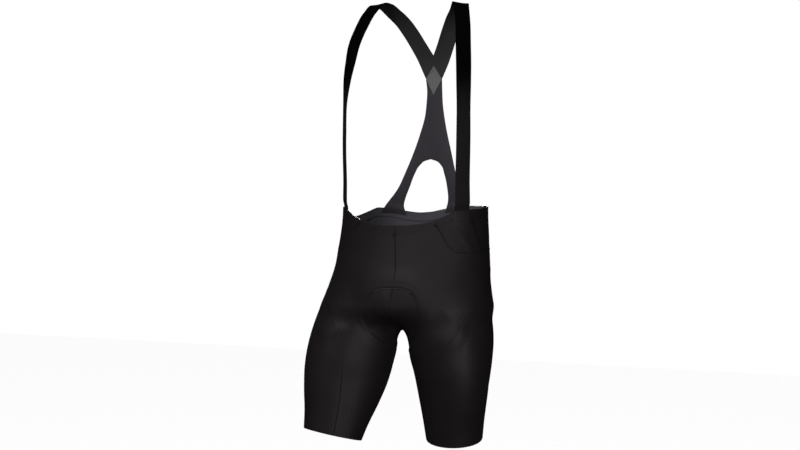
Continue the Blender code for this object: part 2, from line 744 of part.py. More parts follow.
def strap(half):
    """A flat band from the waist panel's edge over the shoulder to the patch."""
    line = np.array(STRAP_LINE, float)
    lengths = np.concatenate([[0], np.cumsum(np.linalg.norm(np.diff(line[:, :3], axis=0), axis=1))])
    table = np.column_stack([lengths, line])
    places = np.linspace(0, lengths[-1], STRAP_ROWS + 1)
    x, y, z, turn, dip, width = np.moveaxis(along(table, places), -1, 0)
    centre = np.stack([x, y, z], axis=1)
    ahead = unit(np.gradient(centre, axis=0))
    turn, dip = np.radians(turn), np.radians(dip)
    across = np.stack([np.cos(turn) * np.cos(dip), np.sin(turn) * np.cos(dip), -np.sin(dip)], axis=1)
    across = unit(across - ahead * np.sum(across * ahead, axis=1, keepdims=True))
    shares = np.linspace(-0.5, 0.5, STRAP_COLUMNS + 1)[:, None]
    points = centre[:, None] + across[:, None] * shares * width[:, None, None]
    normals = np.broadcast_to(np.cross(across, ahead)[:, None], points.shape)
    mirror = np.array([half.leg.side, 1, 1])
    points = points * mirror
    azimuths = half.leg.strap_azimuth + half.degrees(0, half.leg.strap_azimuth, width[0]) * shares[:, 0]
    foot = half.point(half.upper_edge(azimuths) - UPPER_EDGE_GAP, azimuths)
    near = 1 - smooth(places, 0, STRAP_FOOT_REACH)
    points = (points + near[:, None, None] * (foot - points[0])).reshape(-1, 3)
    normals = (normals * mirror).reshape(-1, 3)
    slope = np.array([PATCH_MIDDLE - PATCH_TOP, 0, -PATCH_HALF_WIDTH])
    slope = slope / np.linalg.norm(slope)
    patch_edge = np.array([0, 0, PATCH_TOP]) - slope * SEAM_GAP / 2
    cuts = (
        (np.array([SEAM_GAP / 2, 0, 0]) * mirror, np.array([-1, 0, 0]) * mirror),
        (patch_edge * mirror, slope * mirror),
    )
    faces = grid_faces(STRAP_ROWS + 1, STRAP_COLUMNS + 1)
    wall(f"strap_{half.leg.name}", STRAP_COLOUR, points, faces, normals, STRAP_WALL, cuts)


def patch():
    """The diamond between the straps and the yoke."""
    steps = np.linspace(0, 1, PATCH_STEPS + 1)
    inset = SEAM_GAP / 2 / PATCH_HALF_WIDTH
    steps = steps * (1 - 2 * inset) + inset
    left, right = np.meshgrid(steps, steps)
    x = (left - right) * PATCH_HALF_WIDTH
    upper = PATCH_TOP + (PATCH_MIDDLE - PATCH_TOP) * np.minimum(left + right, 1)
    lower = (PATCH_BOTTOM - PATCH_MIDDLE) * np.maximum(left + right - 1, 0)
    points, normals = back_points(x, upper + lower)
    faces = grid_faces(PATCH_STEPS + 1, PATCH_STEPS + 1)
    wall("cross_patch", PATCH_COLOUR, points.reshape(-1, 3), faces, normals.reshape(-1, 3), YOKE_WALL)


def pad():
    """The pad under the crotch: strips that run across the rise curve, inside the panels."""
    outline = np.array(PAD_OUTLINE, float)
    places = np.linspace(outline[0, 0], outline[-1, 0], PAD_ROWS + 1)
    widths = along(PAD_OUTLINE, places)[:, :1]
    middle = settle(on_rise(places))
    sides = []
    for side in (-1.0, 1.0):
        points = middle
        heading = np.tile([side, 0.0, 0.0], (len(places), 1))
        strip = [middle]
        for _ in range(PAD_STEPS):
            normal = form_normal(points)
            heading = unit(heading - normal * np.sum(heading * normal, axis=1, keepdims=True))
            ahead = settle(points + heading * widths / PAD_STEPS)
            heading = ahead - points
            points = ahead
            strip.append(points)
        sides.append(np.stack(strip, axis=1)[:, PAD_COLUMNS])
    points = np.concatenate([sides[0][:, :0:-1], sides[1]], axis=1)
    normals = form_normal(points)
    points = points - normals * (BODY_WALL + PAD_CLEARANCE)
    across = np.array(PAD_COLUMNS) / PAD_STEPS
    across = np.concatenate([across[:0:-1], across]) ** 2
    ends = smooth(np.abs(np.linspace(-1, 1, PAD_ROWS + 1)), PAD_END_SHARE, 1)[:, None] ** 2
    thickness = PAD_WALL + (PAD_EDGE_WALL - PAD_WALL) * np.maximum(across, ends)
    faces = grid_faces(PAD_ROWS + 1, points.shape[1])
    wall("seat_pad", PAD_COLOUR, points.reshape(-1, 3), faces, normals.reshape(-1, 3), thickness.reshape(-1))


if __name__ == "__main__":
    for old in list(bpy.data.objects):
        bpy.data.objects.remove(old)
    for one_half in HALVES.values():
        front_panel(one_half)
        back_panel(one_half)
        strap(one_half)
    waist_panel()
    yoke()
    patch()
    pad()
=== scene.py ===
"""Long bib shorts in their worn shape with nobody in them: cloth shells, seams, thread and finishes.

Lengths are in millimetres until a mesh is made. A place on the body is given by its drop below the waist and by
its azimuth, in degrees from the front towards the outer side of its own half.
"""

from __future__ import annotations

import logging
import math
from dataclasses import dataclass, field
from enum import Enum
from typing import Any, NamedTuple, Sequence

import bmesh
import bpy
import numpy as np
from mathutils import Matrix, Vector


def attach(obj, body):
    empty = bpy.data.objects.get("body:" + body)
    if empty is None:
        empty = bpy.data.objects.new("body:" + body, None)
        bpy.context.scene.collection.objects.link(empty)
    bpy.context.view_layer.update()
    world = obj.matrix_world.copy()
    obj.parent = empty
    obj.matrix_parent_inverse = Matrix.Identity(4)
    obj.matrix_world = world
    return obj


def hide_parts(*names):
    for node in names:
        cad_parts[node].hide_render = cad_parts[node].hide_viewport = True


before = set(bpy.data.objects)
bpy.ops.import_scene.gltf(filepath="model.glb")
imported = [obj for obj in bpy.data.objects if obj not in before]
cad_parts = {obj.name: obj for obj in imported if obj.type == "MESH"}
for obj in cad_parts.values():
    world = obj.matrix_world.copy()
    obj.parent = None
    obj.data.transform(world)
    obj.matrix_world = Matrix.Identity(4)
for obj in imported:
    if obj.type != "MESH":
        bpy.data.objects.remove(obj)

LOG = logging.getLogger("bib_shorts")
MM = 0.001
BODY = "root"
UV_NAME = "Cloth"
Array = np.ndarray
Piece = bpy.types.Object
Pair = tuple[float, float]
Triple = tuple[float, float, float]
Colour = Triple
Lines = tuple[float, ...]
TINY = 1e-9
SMOOTH_ANGLE = math.radians(50)


def rows_of(kind: type, *rows: Lines) -> tuple[Any, ...]:
    """Makes a table of named rows."""
    return tuple(kind(*row) for row in rows)


def along(table: Any, at: Any) -> Array:
    """Reads a smooth curve through the rows of a table, by its first column.

    Args:
        table: Rows of numbers, the first of each rising from row to row.
        at: Places to read, in the first column's terms.

    Returns:
        The other columns at those places, along the last axis.
    """
    rows = np.array(table, float)
    keys, values = rows[:, 0], rows[:, 1:]
    at = np.clip(np.asarray(at, float), keys[0], keys[-1])
    slopes = np.gradient(values, keys, axis=0)
    index = np.clip(np.searchsorted(keys, at, side="right") - 1, 0, len(keys) - 2)
    span = keys[index + 1] - keys[index]
    t = ((at - keys[index]) / span)[..., None]
    span = span[..., None]
    rise = t * t * (3 - 2 * t)
    start = t * (1 - t) ** 2 * span * slopes[index]
    end = t * t * (t - 1) * span * slopes[index + 1]
    return (1 - rise) * values[index] + rise * values[index + 1] + start + end


def curve_through(points: Array, at: Array) -> Array:
    """Reads a smooth curve through points that are numbered from 0.

    Args:
        points: The points, along the first axis.
        at: Places to read, such as 2.5 for halfway between points 2 and 3.

    Returns:
        The points of the curve at those places.
    """
    steepest = 1.5
    steps = np.diff(points, axis=0)
    slopes = np.gradient(points, axis=0)
    size = np.linalg.norm(steps, axis=-1, keepdims=True)
    least = np.minimum(np.concatenate([size[:1], size]), np.concatenate([size, size[-1:]]))
    slopes *= np.minimum(1, steepest * least / np.maximum(np.linalg.norm(slopes, axis=-1, keepdims=True), TINY))
    index = np.clip(at.astype(int), 0, len(points) - 2)
    t = (at - index).reshape(-1, *[1] * (points.ndim - 1))
    rise = t * t * (3 - 2 * t)
    bend = t * (1 - t) ** 2 * slopes[index] + t * t * (t - 1) * slopes[index + 1]
    return (1 - rise) * points[index] + rise * points[index + 1] + bend


def smooth(value: Any, start: Any, end: Any) -> Array:
    """Grades numbers softly from 0, at start, to 1, at end."""
    t = np.clip((np.asarray(value, float) - start) / (end - start), 0, 1)
    return t * t * (3 - 2 * t)


def bell(offset: Array, reach: float) -> Array:
    """Gives 1 at no offset, falling softly to almost nothing at twice the reach."""
    return np.exp(-((offset / reach) ** 2))


def unit(vectors: Array) -> Array:
    """Scales vectors to length 1."""
    return vectors / np.linalg.norm(vectors, axis=-1, keepdims=True)


def square_to(axes: Array, vectors: Array) -> Array:
    """Turns vectors square to axes and scales them to length 1."""
    return unit(vectors - axes * np.sum(vectors * axes, axis=-1, keepdims=True))


def walked(path: Array) -> Array:
    """Gives how far along a path each of its points lies."""
    return np.concatenate([[0], np.cumsum(np.linalg.norm(np.diff(path, axis=0), axis=1))])


def read_at(at: Any, keys: Array, values: Array) -> Array:
    """Reads numbers or vectors that are listed by rising keys, straight from one to the next."""
    if values.ndim == 1:
        return np.interp(at, keys, values)
    return np.stack([np.interp(at, keys, column) for column in values.T], axis=-1)


def radial_gap(offset: Array, ratio: Array) -> Array:
    """Tells how far outside a section points lie; ratio is their distance over the section's radius there."""
    least = 1e-3
    return np.linalg.norm(offset, axis=-1) * (1 - 1 / np.maximum(ratio, least))


def blended(first: Array, second: Array, reach: float) -> Array:
    """Joins the gaps to two forms with a soft fillet of this reach."""
    near = np.maximum(reach - np.abs(first - second), 0) / reach
    return np.minimum(first, second) - near * near * reach / 4


class Side(Enum):
    """A side of the wearer, by the sign of X there."""

    LEFT = 1
    RIGHT = -1

    @property
    def label(self) -> str:
        """Gives the side's name as the pieces bear it."""
        return self.name.lower()

    @property
    def column(self) -> int:
        """Gives the side's column in tables that list left and right."""
        return 0 if self is Side.LEFT else 1

    @property
    def mirror(self) -> Array:
        """Gives the signs that turn a left-hand place into one on this side."""
        return np.array([self.value, 1, 1])


class TrunkRow(NamedTuple):
    """A level section of the trunk."""

    drop: float
    half_width: float
    front: float
    back: float
    x: float
    y: float


@dataclass(frozen=True)
class Trunk:
    """The trunk of the form, down to its bowl-shaped end."""

    waist_height: float = -408.0
    squareness: float = 2.15
    bowl_top_drop: float = 186.0
    bowl_depth: float = 46.0
    bowl_squareness: float = 2.2
    rows: tuple[TrunkRow, ...] = rows_of(
        TrunkRow,
        (-30, 149.5, 108, 84, 0, -18), (20, 150.5, 109, 85, 0, -19), (60, 154, 111, 90, -1, -21),
        (95, 157.5, 113, 98, -2.7, -24), (130, 160, 115, 110, -3.7, -28), (165, 160.5, 116, 118, -4, -32),
        (210, 158, 115, 119, -4, -35), (260, 151, 110, 112, -7, -36),
    )

    def at(self, drop: Any) -> tuple[Array, ...]:
        """Gives half_width, front, back, x and y at these drops."""
        return tuple(np.moveaxis(along(self.rows, drop), -1, 0))

    def gap(self, points: Array) -> Array:
        """Tells how far outside the trunk points lie.

        Args:
            points: Places in the part's frame.

        Returns:
            Distances, negative inside.
        """
        drop = self.waist_height - points[..., 2]
        half_width, front, back, x, y = self.at(drop)
        across = points[..., 0] - x
        deep = points[..., 1] - y
        depth = np.where(deep < 0, front, back)
        below = np.maximum(drop - self.bowl_top_drop, 0)
        ratio = np.abs(across / half_width) ** self.squareness + np.abs(deep / depth) ** self.squareness
        bowl = self.bowl_squareness
        ratio = (ratio ** (bowl / self.squareness) + (below / self.bowl_depth) ** bowl) ** (1 / bowl)
        return radial_gap(np.stack([across, deep, below], axis=-1), ratio)


class LegRow(NamedTuple):
    """A section across a leg, by its distance down from the hip."""

    along: float
    major: float
    minor: float


@dataclass(frozen=True)
class Leg:
    """One leg of the form: its axis, its sections and where its strap starts."""

    side: Side
    hip: Triple
    hem: Triple
    strap_azimuth: float
    turn: float = -14.0
    major_azimuth: float = 45.0
    cap: float = 60.0
    rows: tuple[LegRow, ...] = rows_of(
        LegRow,
        (-120, 36, 36), (-60, 61, 64), (-15, 79, 82), (25, 86, 84.5), (70, 89, 79), (110, 86.5, 71.5),
        (150, 78.5, 66), (198, 66, 60.3), (235, 59, 56.5),
    )

    def axes(self) -> tuple[Array, Array, Array]:
        """Gives the leg's direction downwards, its outer side and its front, as unit vectors."""
        axis = unit(np.subtract(self.hem, self.hip).astype(float))
        outer = square_to(axis, np.array([self.side.value, 0.0, 0.0]))
        return axis, outer, np.cross(axis, outer) * self.side.value

    def gap(self, points: Array) -> Array:
        """Tells how far outside the leg points lie.

        Args:
            points: Places in the part's frame.

        Returns:
            Distances, negative inside.
        """
        axis, outer, front = self.axes()
        offset = points - np.array(self.hip, float)
        distance = offset @ axis
        major, minor = np.moveaxis(along(self.rows, distance), -1, 0)
        angle = math.radians(self.major_azimuth)
        long = offset @ front * math.cos(angle) + offset @ outer * math.sin(angle)
        short = offset @ outer * math.cos(angle) - offset @ front * math.sin(angle)
        above = np.maximum(-self.cap - distance, 0)
        ratio = np.sqrt((long / major) ** 2 + (short / minor) ** 2 + (above / self.cap) ** 2)
        return radial_gap(np.stack([long, short, above], axis=-1), ratio)


class RisePoint(NamedTuple):
    """How far sideways the rise curve lies, by its turn round the pivot."""

    turn: float
    x: float


@dataclass(frozen=True)
class WornForm:
    """The smooth form on which the cloth lies: a trunk and two legs, blended."""

    trunk: Trunk = Trunk()
    left: Leg = Leg(Side.LEFT, (83.8, -42, -640), (75.4, 1, -872), 63.0)
    right: Leg = Leg(Side.RIGHT, (-113.3, -50, -640), (-149.6, -94, -863.5), 66.5)
    hip_blend: float = 46.0
    crotch_blend: float = 20.0
    top_drop: float = -24.0
    pivot_drop: float = 150.0
    crotch_angle: float = 96.0
    rise_side: tuple[RisePoint, ...] = rows_of(
        RisePoint,
        (-90, -1), (-48, 3.5), (-12, 6.5), (4, 3), (20, -3), (50, -8), (96, -15), (140, -12), (180, -9), (270, 0),
    )

    def gap(self, points: Array) -> Array:
        """Tells how far outside the form points lie."""
        legs = blended(self.left.gap(points), self.right.gap(points), self.crotch_blend)
        return blended(self.trunk.gap(points), legs, self.hip_blend)

    def normal(self, points: Array, step: float = 0.5) -> Array:
        """Gives the outward normals of the form near points, from the gap a step to either side."""
        slope = [self.gap(points + s) - self.gap(points - s) for s in step * np.eye(3)]
        return unit(np.stack(slope, axis=-1))

    def leave(self, origins: Array, directions: Array) -> Array:
        """Follows rays that start inside the form to where they leave it.

        Args:
            origins: Where the rays start.
            directions: Unit vectors.

        Returns:
            The places where they leave.
        """
        step, farthest, halvings = 6.0, 320.0, 18
        near = np.zeros(origins.shape[:-1])
        inside = np.ones(near.shape, bool)
        for distance in np.arange(step, farthest, step):
            inside &= self.gap(origins + directions * distance) < 0
            near = np.where(inside, distance, near)
        far = near + step
        for _ in range(halvings):
            middle = (near + far) / 2
            out = self.gap(origins + directions * middle[..., None]) > 0
            far = np.where(out, middle, far)
            near = np.where(out, near, middle)
        return origins + directions * near[..., None]

    def settle(self, points: Array, rounds: int = 3) -> Array:
        """Moves points that lie near the form onto it.

        Args:
            points: Places near the form.
            rounds: How often they are moved.

        Returns:
            The moved points.
        """
        for _ in range(rounds):
            points = points - self.gap(points)[..., None] * self.normal(points)
        return points

    def relax(self, points: Array, rounds: int = 24) -> Array:
        """Evens out a grid of points on the form and keeps its border.

        Args:
            points: The grid.
            rounds: How often each point moves between its neighbours.

        Returns:
            The evened grid.
        """
        points = points.copy()
        for _ in range(rounds):
            middle = points[:-2, 1:-1] + points[2:, 1:-1] + points[1:-1, :-2] + points[1:-1, 2:]
            points[1:-1, 1:-1] = self.settle(middle / 4, 2)
        return points


class Rise:
    """The curve from centre front to centre back through the crotch, read by distance from the crotch."""

    drop_step = 4.0
    turn_step = 2.0

    def __init__(self, form: WornForm) -> None:
        """Walks down the front, round under the pivot and up the back."""
        trunk = form.trunk
        drops = np.arange(form.top_drop, form.pivot_drop, self.drop_step)
        *_, middle_y = trunk.at(drops)
        forward = np.tile([0.0, -1.0, 0.0], (len(drops), 1))
        above = 90 * (1 - drops / form.pivot_drop)
        front_x, back_x = along(form.rise_side, -above)[:, 0], along(form.rise_side, 180 + above)[:, 0]
        front = form.leave(np.stack([front_x, middle_y, trunk.waist_height - drops], axis=1), forward)
        back = form.leave(np.stack([back_x, middle_y, trunk.waist_height - drops], axis=1), -forward)
        *_, pivot_y = trunk.at(form.pivot_drop)
        degrees = np.arange(0, 180 + self.turn_step / 2, self.turn_step)
        turns = np.radians(degrees)
        down = np.stack([0 * turns, -np.cos(turns), -np.sin(turns)], axis=1)
        pivot = np.tile([0, pivot_y, trunk.waist_height - form.pivot_drop], (len(turns), 1))
        pivot[:, 0] = along(form.rise_side, degrees)[:, 0]
        self.curve = np.concatenate([front, form.leave(pivot, down), back[::-1]])
        lengths = walked(self.curve)
        crotch = len(front) + np.searchsorted(turns, math.radians(form.crotch_angle))
        self.lengths = lengths - lengths[crotch]
        waist = np.searchsorted(drops, 0)
        self.waist_front, self.waist_back = self.lengths[[waist, -1 - waist]]

    def at(self, distance: Any) -> Array:
        """Gives points by distance from the crotch, negative towards the front."""
        return read_at(distance, self.lengths, self.curve)


class EdgePoint(NamedTuple):
    """The drop of the upper edge at an azimuth."""

    azimuth: float
    left_drop: float
    right_drop: float


class SeamPoint(NamedTuple):
    """The azimuth of the seam between front and back panel at a drop."""

    drop: float
    left_azimuth: float
    right_azimuth: float


class WaistPoint(NamedTuple):
    """The drop of the waist panel's lower edge at an azimuth."""

    azimuth: float
    drop: float


@dataclass(frozen=True)
class Cut:
    """Where the edges and seams of the body lie."""

    upper_edge: tuple[EdgePoint, ...] = rows_of(
        EdgePoint,
        (0, 29, 29), (12, 28.5, 29), (24, 26, 28), (36, 22, 24), (48, 11.5, 15), (58, 1, 5), (64, 0, 0),
        (72, -1, 0), (82, -1.5, 6), (92, -5.5, 21), (102, -5, 22), (114, -2, 8), (128, -1, 7), (145, 2.5, 12.5),
        (162, 7.5, 15.5), (180, 13.5, 13.5),
    )
    waist_lower: tuple[WaistPoint, ...] = rows_of(
        WaistPoint,
        (39, 20), (42, 33), (45.5, 45), (49, 61), (53, 74), (58, 81), (64, 83), (90, 81), (118, 80), (180, 84),
    )
    leg_seam: tuple[SeamPoint, ...] = rows_of(
        SeamPoint,
        (84, 118, 118), (130, 100, 100), (170, 78, 70), (200, 53.5, 34), (230, 31.5, 8), (270, 6, -6),
        (310, -7, -14), (380, -18, -22), (470, -27, -27),
    )
    waist_tip: float = 40.0
    tip_slack: float = 0.5
    front_columns: Lines = (0, 6, 15, 27, 39.2, 40, 43, 46.5, 51, 57, 67, 82, 100, 118)
    back_columns: Lines = tuple(np.linspace(118, 180, 16))
    even_drops: Pair = (100.0, 215.0)
    panel_start: float = 128.0
    top_rows: int = 4
    rise_rows: int = 8
    leg_rows: int = 12
    waist_rows: int = 5

    def waist_lower_drop(self, azimuth: Any) -> Array:
        """Gives the drop of the waist panel's lower edge."""
        return along(self.waist_lower, azimuth)[..., 0]

    def shares(self, columns: Sequence[float], drops: Array) -> Array:
        """Spreads columns across a panel.

        Args:
            columns: Azimuths of the columns at the top.
            drops: The drop of each point of the panel's grid.

        Returns:
            Shares of the panel's width, as listed at the top and even lower down.
        """
        listed = (np.array(columns, float) - columns[0]) / (columns[-1] - columns[0])
        even = smooth(drops, *self.even_drops)
        return listed * (1 - even) + np.linspace(0, 1, len(columns)) * even


class Half:
    """One half of the body, read by drop and azimuth."""

    spread_start = 90.0
    crotch_drop = 240.0
    tilt_drops = (150.0, 320.0)
    inseam_settle = 70.0
    span_start = 170.0
    span_degrees = 46.0
    span_fewest = 4.0
    span_end = 325.0
    drop_step = 2.0

    def __init__(self, form: WornForm, rise: Rise, cut: Cut, leg: Leg) -> None:
        """Works out the sections of this half.

        Args:
            form: The form that the half lies on.
            rise: The curve between the halves.
            cut: The edges and seams.
            leg: The leg of this half.
        """
        self.form, self.rise, self.cut, self.leg = form, rise, cut, leg
        waist = form.trunk.waist_height
        self.hem_drop = waist - leg.hem[2]
        self.drops = np.arange(form.top_drop, self.hem_drop + self.drop_step, self.drop_step)
        axis, outer, _ = leg.axes()
        *_, x, y = form.trunk.at(self.drops)
        centre = np.stack([x, y, waist - self.drops], axis=1)
        hip_drop = waist - leg.hip[2]
        share = (self.drops - hip_drop) / (self.hem_drop - hip_drop)
        on_leg = np.array(leg.hip) + share[:, None] * np.subtract(leg.hem, leg.hip)
        spread = smooth(self.drops, self.spread_start, self.crotch_drop)[:, None]
        self.origins = centre * (1 - spread) + on_leg * spread
        tilt = smooth(self.drops, *self.tilt_drops)[:, None]
        self.axes = unit(np.array([0, 0, -1.0]) * (1 - tilt) + axis * tilt)
        outward = np.array([leg.side.value, 0, 0]) * (1 - tilt) + outer * tilt
        self.outers = square_to(self.axes, outward)
        self.fronts = np.cross(self.axes, self.outers) * leg.side.value
        self.ends = [self._end(True), self._end(False)]

    def _end(self, at_front: bool) -> tuple[Array, Array, Array]:
        """Works out one end of every section, on the rise curve or, lower, on the inseam.

        Args:
            at_front: Whether it is the end at the centre front.

        Returns:
            Its azimuth, dip and place, by drop.
        """
        crotch_drop, rise = self.crotch_drop, self.rise
        start, low, way = (rise.waist_front, -180.0, 1) if at_front else (rise.waist_back, 90.0, -1)
        share = np.minimum(self.drops / crotch_drop, 1)
        place = start + way * share * crotch_drop - (start + way * crotch_drop) * np.abs(share) ** 3
        under = self.drops >= crotch_drop
        fade = 1 - smooth(self.drops, crotch_drop, self.span_end)
        point = np.where(under[:, None], self._inseam(), rise.at(place))
        ray = point - self.origins
        azimuth = np.degrees(np.arctan2(np.sum(ray * self.outers, 1), np.sum(ray * self.fronts, 1)))
        dip = np.sum(ray * self.axes, 1) / np.linalg.norm(ray, axis=1)
        dip = np.where(under, dip[np.searchsorted(self.drops, crotch_drop)] * fade, dip)
        return low + np.mod(azimuth - low, 360), dip, point

    def _inseam(self) -> Array:
        """Gives a point down the inner side of the leg for each drop."""
        angle = math.radians(self.leg.turn - 90)
        inner = self.form.leave(self.origins, math.cos(angle) * self.fronts + math.sin(angle) * self.outers)
        share = np.clip((self.drops - self.crotch_drop) / self.inseam_settle, 0, 1)[:, None]
        settled = inner[np.searchsorted(self.drops, self.crotch_drop + self.inseam_settle)]
        near = self.form.settle(self.rise.at(0.0) * (1 - share) + settled * share, rounds=6)
        return np.where(share < 1, near, inner)

    def read(self, values: Array, drop: Any) -> Array:
        """Reads numbers or vectors that are kept by drop."""
        return read_at(drop, self.drops, values)

    def centre_front(self, drop: Any) -> Array:
        """Gives the azimuth of the centre front or inseam."""
        return self.read(self.ends[0][0], drop)

    def centre_back(self, drop: Any) -> Array:
        """Gives the azimuth of the centre back or inseam, from behind."""
        return self.read(self.ends[1][0], drop)

    def upper_edge(self, azimuth: Any) -> Array:
        """Gives the drop of the upper edge on this half."""
        return along(self.cut.upper_edge, azimuth)[..., self.leg.side.column]

    def leg_seam(self, drop: Any) -> Array:
        """Gives the azimuth of the seam between front and back panel on this half."""
        return along(self.cut.leg_seam, drop)[..., self.leg.side.column]

    def _cast(self, drop: Array, azimuth: Array) -> Array:
        """Gives where the ray of a drop and azimuth leaves the form; it dips towards the section's ends."""
        front, back = self.centre_front(drop), self.centre_back(drop)
        share = (azimuth - front) / (back - front)
        dip = self.read(self.ends[0][1], drop) * np.maximum(1 - 2 * share, 0) ** 2
        dip = (dip + self.read(self.ends[1][1], drop) * np.maximum(2 * share - 1, 0) ** 2)[..., None]
        angle = np.radians(azimuth)[..., None]
        level = np.cos(angle) * self.read(self.fronts, drop) + np.sin(angle) * self.read(self.outers, drop)
        ray = level * np.sqrt(1 - dip * dip) + self.read(self.axes, drop) * dip
        return self.form.leave(self.read(self.origins, drop), ray)

    def point(self, drop: Any, azimuth: Any) -> Array:
        """Gives the place on the form with a drop and azimuth.

        Args:
            drop: Millimetres below the waist.
            azimuth: Degrees from the front towards the outer side.

        Returns:
            The places, spanned straight near the ends of a section.
        """
        drop, azimuth = np.broadcast_arrays(np.asarray(drop, float), np.asarray(azimuth, float))
        front, back = self.centre_front(drop), self.centre_back(drop)
        rising = smooth(drop, self.span_start, self.crotch_drop)
        span = rising * (1 - smooth(drop, self.crotch_drop, self.span_end))
        span = self.span_fewest + self.span_degrees * span
        place = self._cast(drop, np.clip(azimuth, front + span, back - span))
        shares = ((front + span - azimuth) / span, (azimuth - back + span) / span)
        for end, share in zip(self.ends, shares):
            share = np.clip(share, 0, 1)[..., None]
            place = place * (1 - share) + self.read(end[2], drop) * share
        return self.form.settle(place)

    def degrees(self, drop: Any, azimuth: Any, length: float) -> Array:
        """Gives how many degrees of azimuth make a length on the form."""
        nearby = self.point(drop, azimuth + 1) - self.point(drop, azimuth)
        return length / np.linalg.norm(nearby, axis=-1)

    def front_top(self) -> Array:
        """Gives the azimuths of the front panel's columns where it meets the waist panel."""
        columns = np.array(self.cut.front_columns, float)
        middle = self.centre_front(self.upper_edge(0.0))
        return columns + middle * (1 - smooth(columns, 0, self.cut.waist_tip))

    def panel_drops(self, upper: Array) -> Array:
        """Gives the drops of a panel's rows below its upper edge, down to the hem."""
        cut = self.cut
        share = np.linspace(0, 1, cut.top_rows + 1)[:-1, None]
        top = upper * (1 - share) + cut.panel_start * share
        rise = np.linspace(cut.panel_start, self.crotch_drop, cut.rise_rows + 1)[:-1]
        leg = np.linspace(self.crotch_drop, self.hem_drop, cut.leg_rows + 1)
        rest = np.concatenate([rise, leg])[:, None]
        return np.concatenate([top, np.broadcast_to(rest, (len(rest), upper.size))])

    def front_panel(self) -> Array:
        """Gives the grid of the front panel, from the centre front to the seam."""
        cut = self.cut
        top = self.front_top()
        free = top < cut.waist_tip - cut.tip_slack
        upper = np.where(free, self.upper_edge(top), cut.waist_lower_drop(top))
        drops = self.panel_drops(upper)
        shares = cut.shares(cut.front_columns, drops)
        azimuths = self.centre_front(drops) * (1 - shares) + self.leg_seam(drops) * shares
        near_top = 1 - smooth(drops, upper, cut.panel_start)
        azimuths = azimuths + (top - azimuths[0]) * near_top
        return self.form.relax(self.point(drops, azimuths))

    def back_panel(self) -> Array:
        """Gives the grid of the back panel, from the seam to the centre back."""
        cut = self.cut
        drops = self.panel_drops(cut.waist_lower_drop(np.array(cut.back_columns)))
        shares = cut.shares(cut.back_columns, drops)
        azimuths = self.leg_seam(drops) * (1 - shares) + self.centre_back(drops) * shares
        return self.form.relax(self.point(drops, azimuths))

    def waist_side(self) -> Array:
        """Gives this half of the waist panel's grid, from its front end to the centre back."""
        cut = self.cut
        front = self.front_top()
        front = front[front > cut.waist_tip - cut.tip_slack]
        azimuths = np.concatenate([front[:-1], cut.back_columns])
        share = np.linspace(0, 1, cut.waist_rows + 1)[:, None]
        drops = self.upper_edge(azimuths) * (1 - share) + cut.waist_lower_drop(azimuths) * share
        return self.point(drops, azimuths)


def operator(operation: str, swapped: bool = False) -> Any:
    """Makes a Python operator of a Math node.

    Args:
        operation: What the node does.
        swapped: Whether the two numbers change places.

    Returns:
        The method.
    """

    def apply(first: Value, second: Any) -> Value:
        """Adds the node."""
        pair = (second, first) if swapped else (first, second)
        return first.bench.node("ShaderNodeMath", {"operation": operation}, dict(enumerate(pair)))

    return apply


class Value:
    """Numbers that vary over a surface, for use in Python expressions."""

    __add__ = __radd__ = operator("ADD")
    __mul__ = __rmul__ = operator("MULTIPLY")
    __sub__, __rsub__ = operator("SUBTRACT"), operator("SUBTRACT", True)
    __pow__ = operator("POWER")

    def __init__(self, bench: Bench, socket: Any) -> None:
        """Wraps an output socket of a bench's tree."""
        self.bench, self.socket = bench, socket


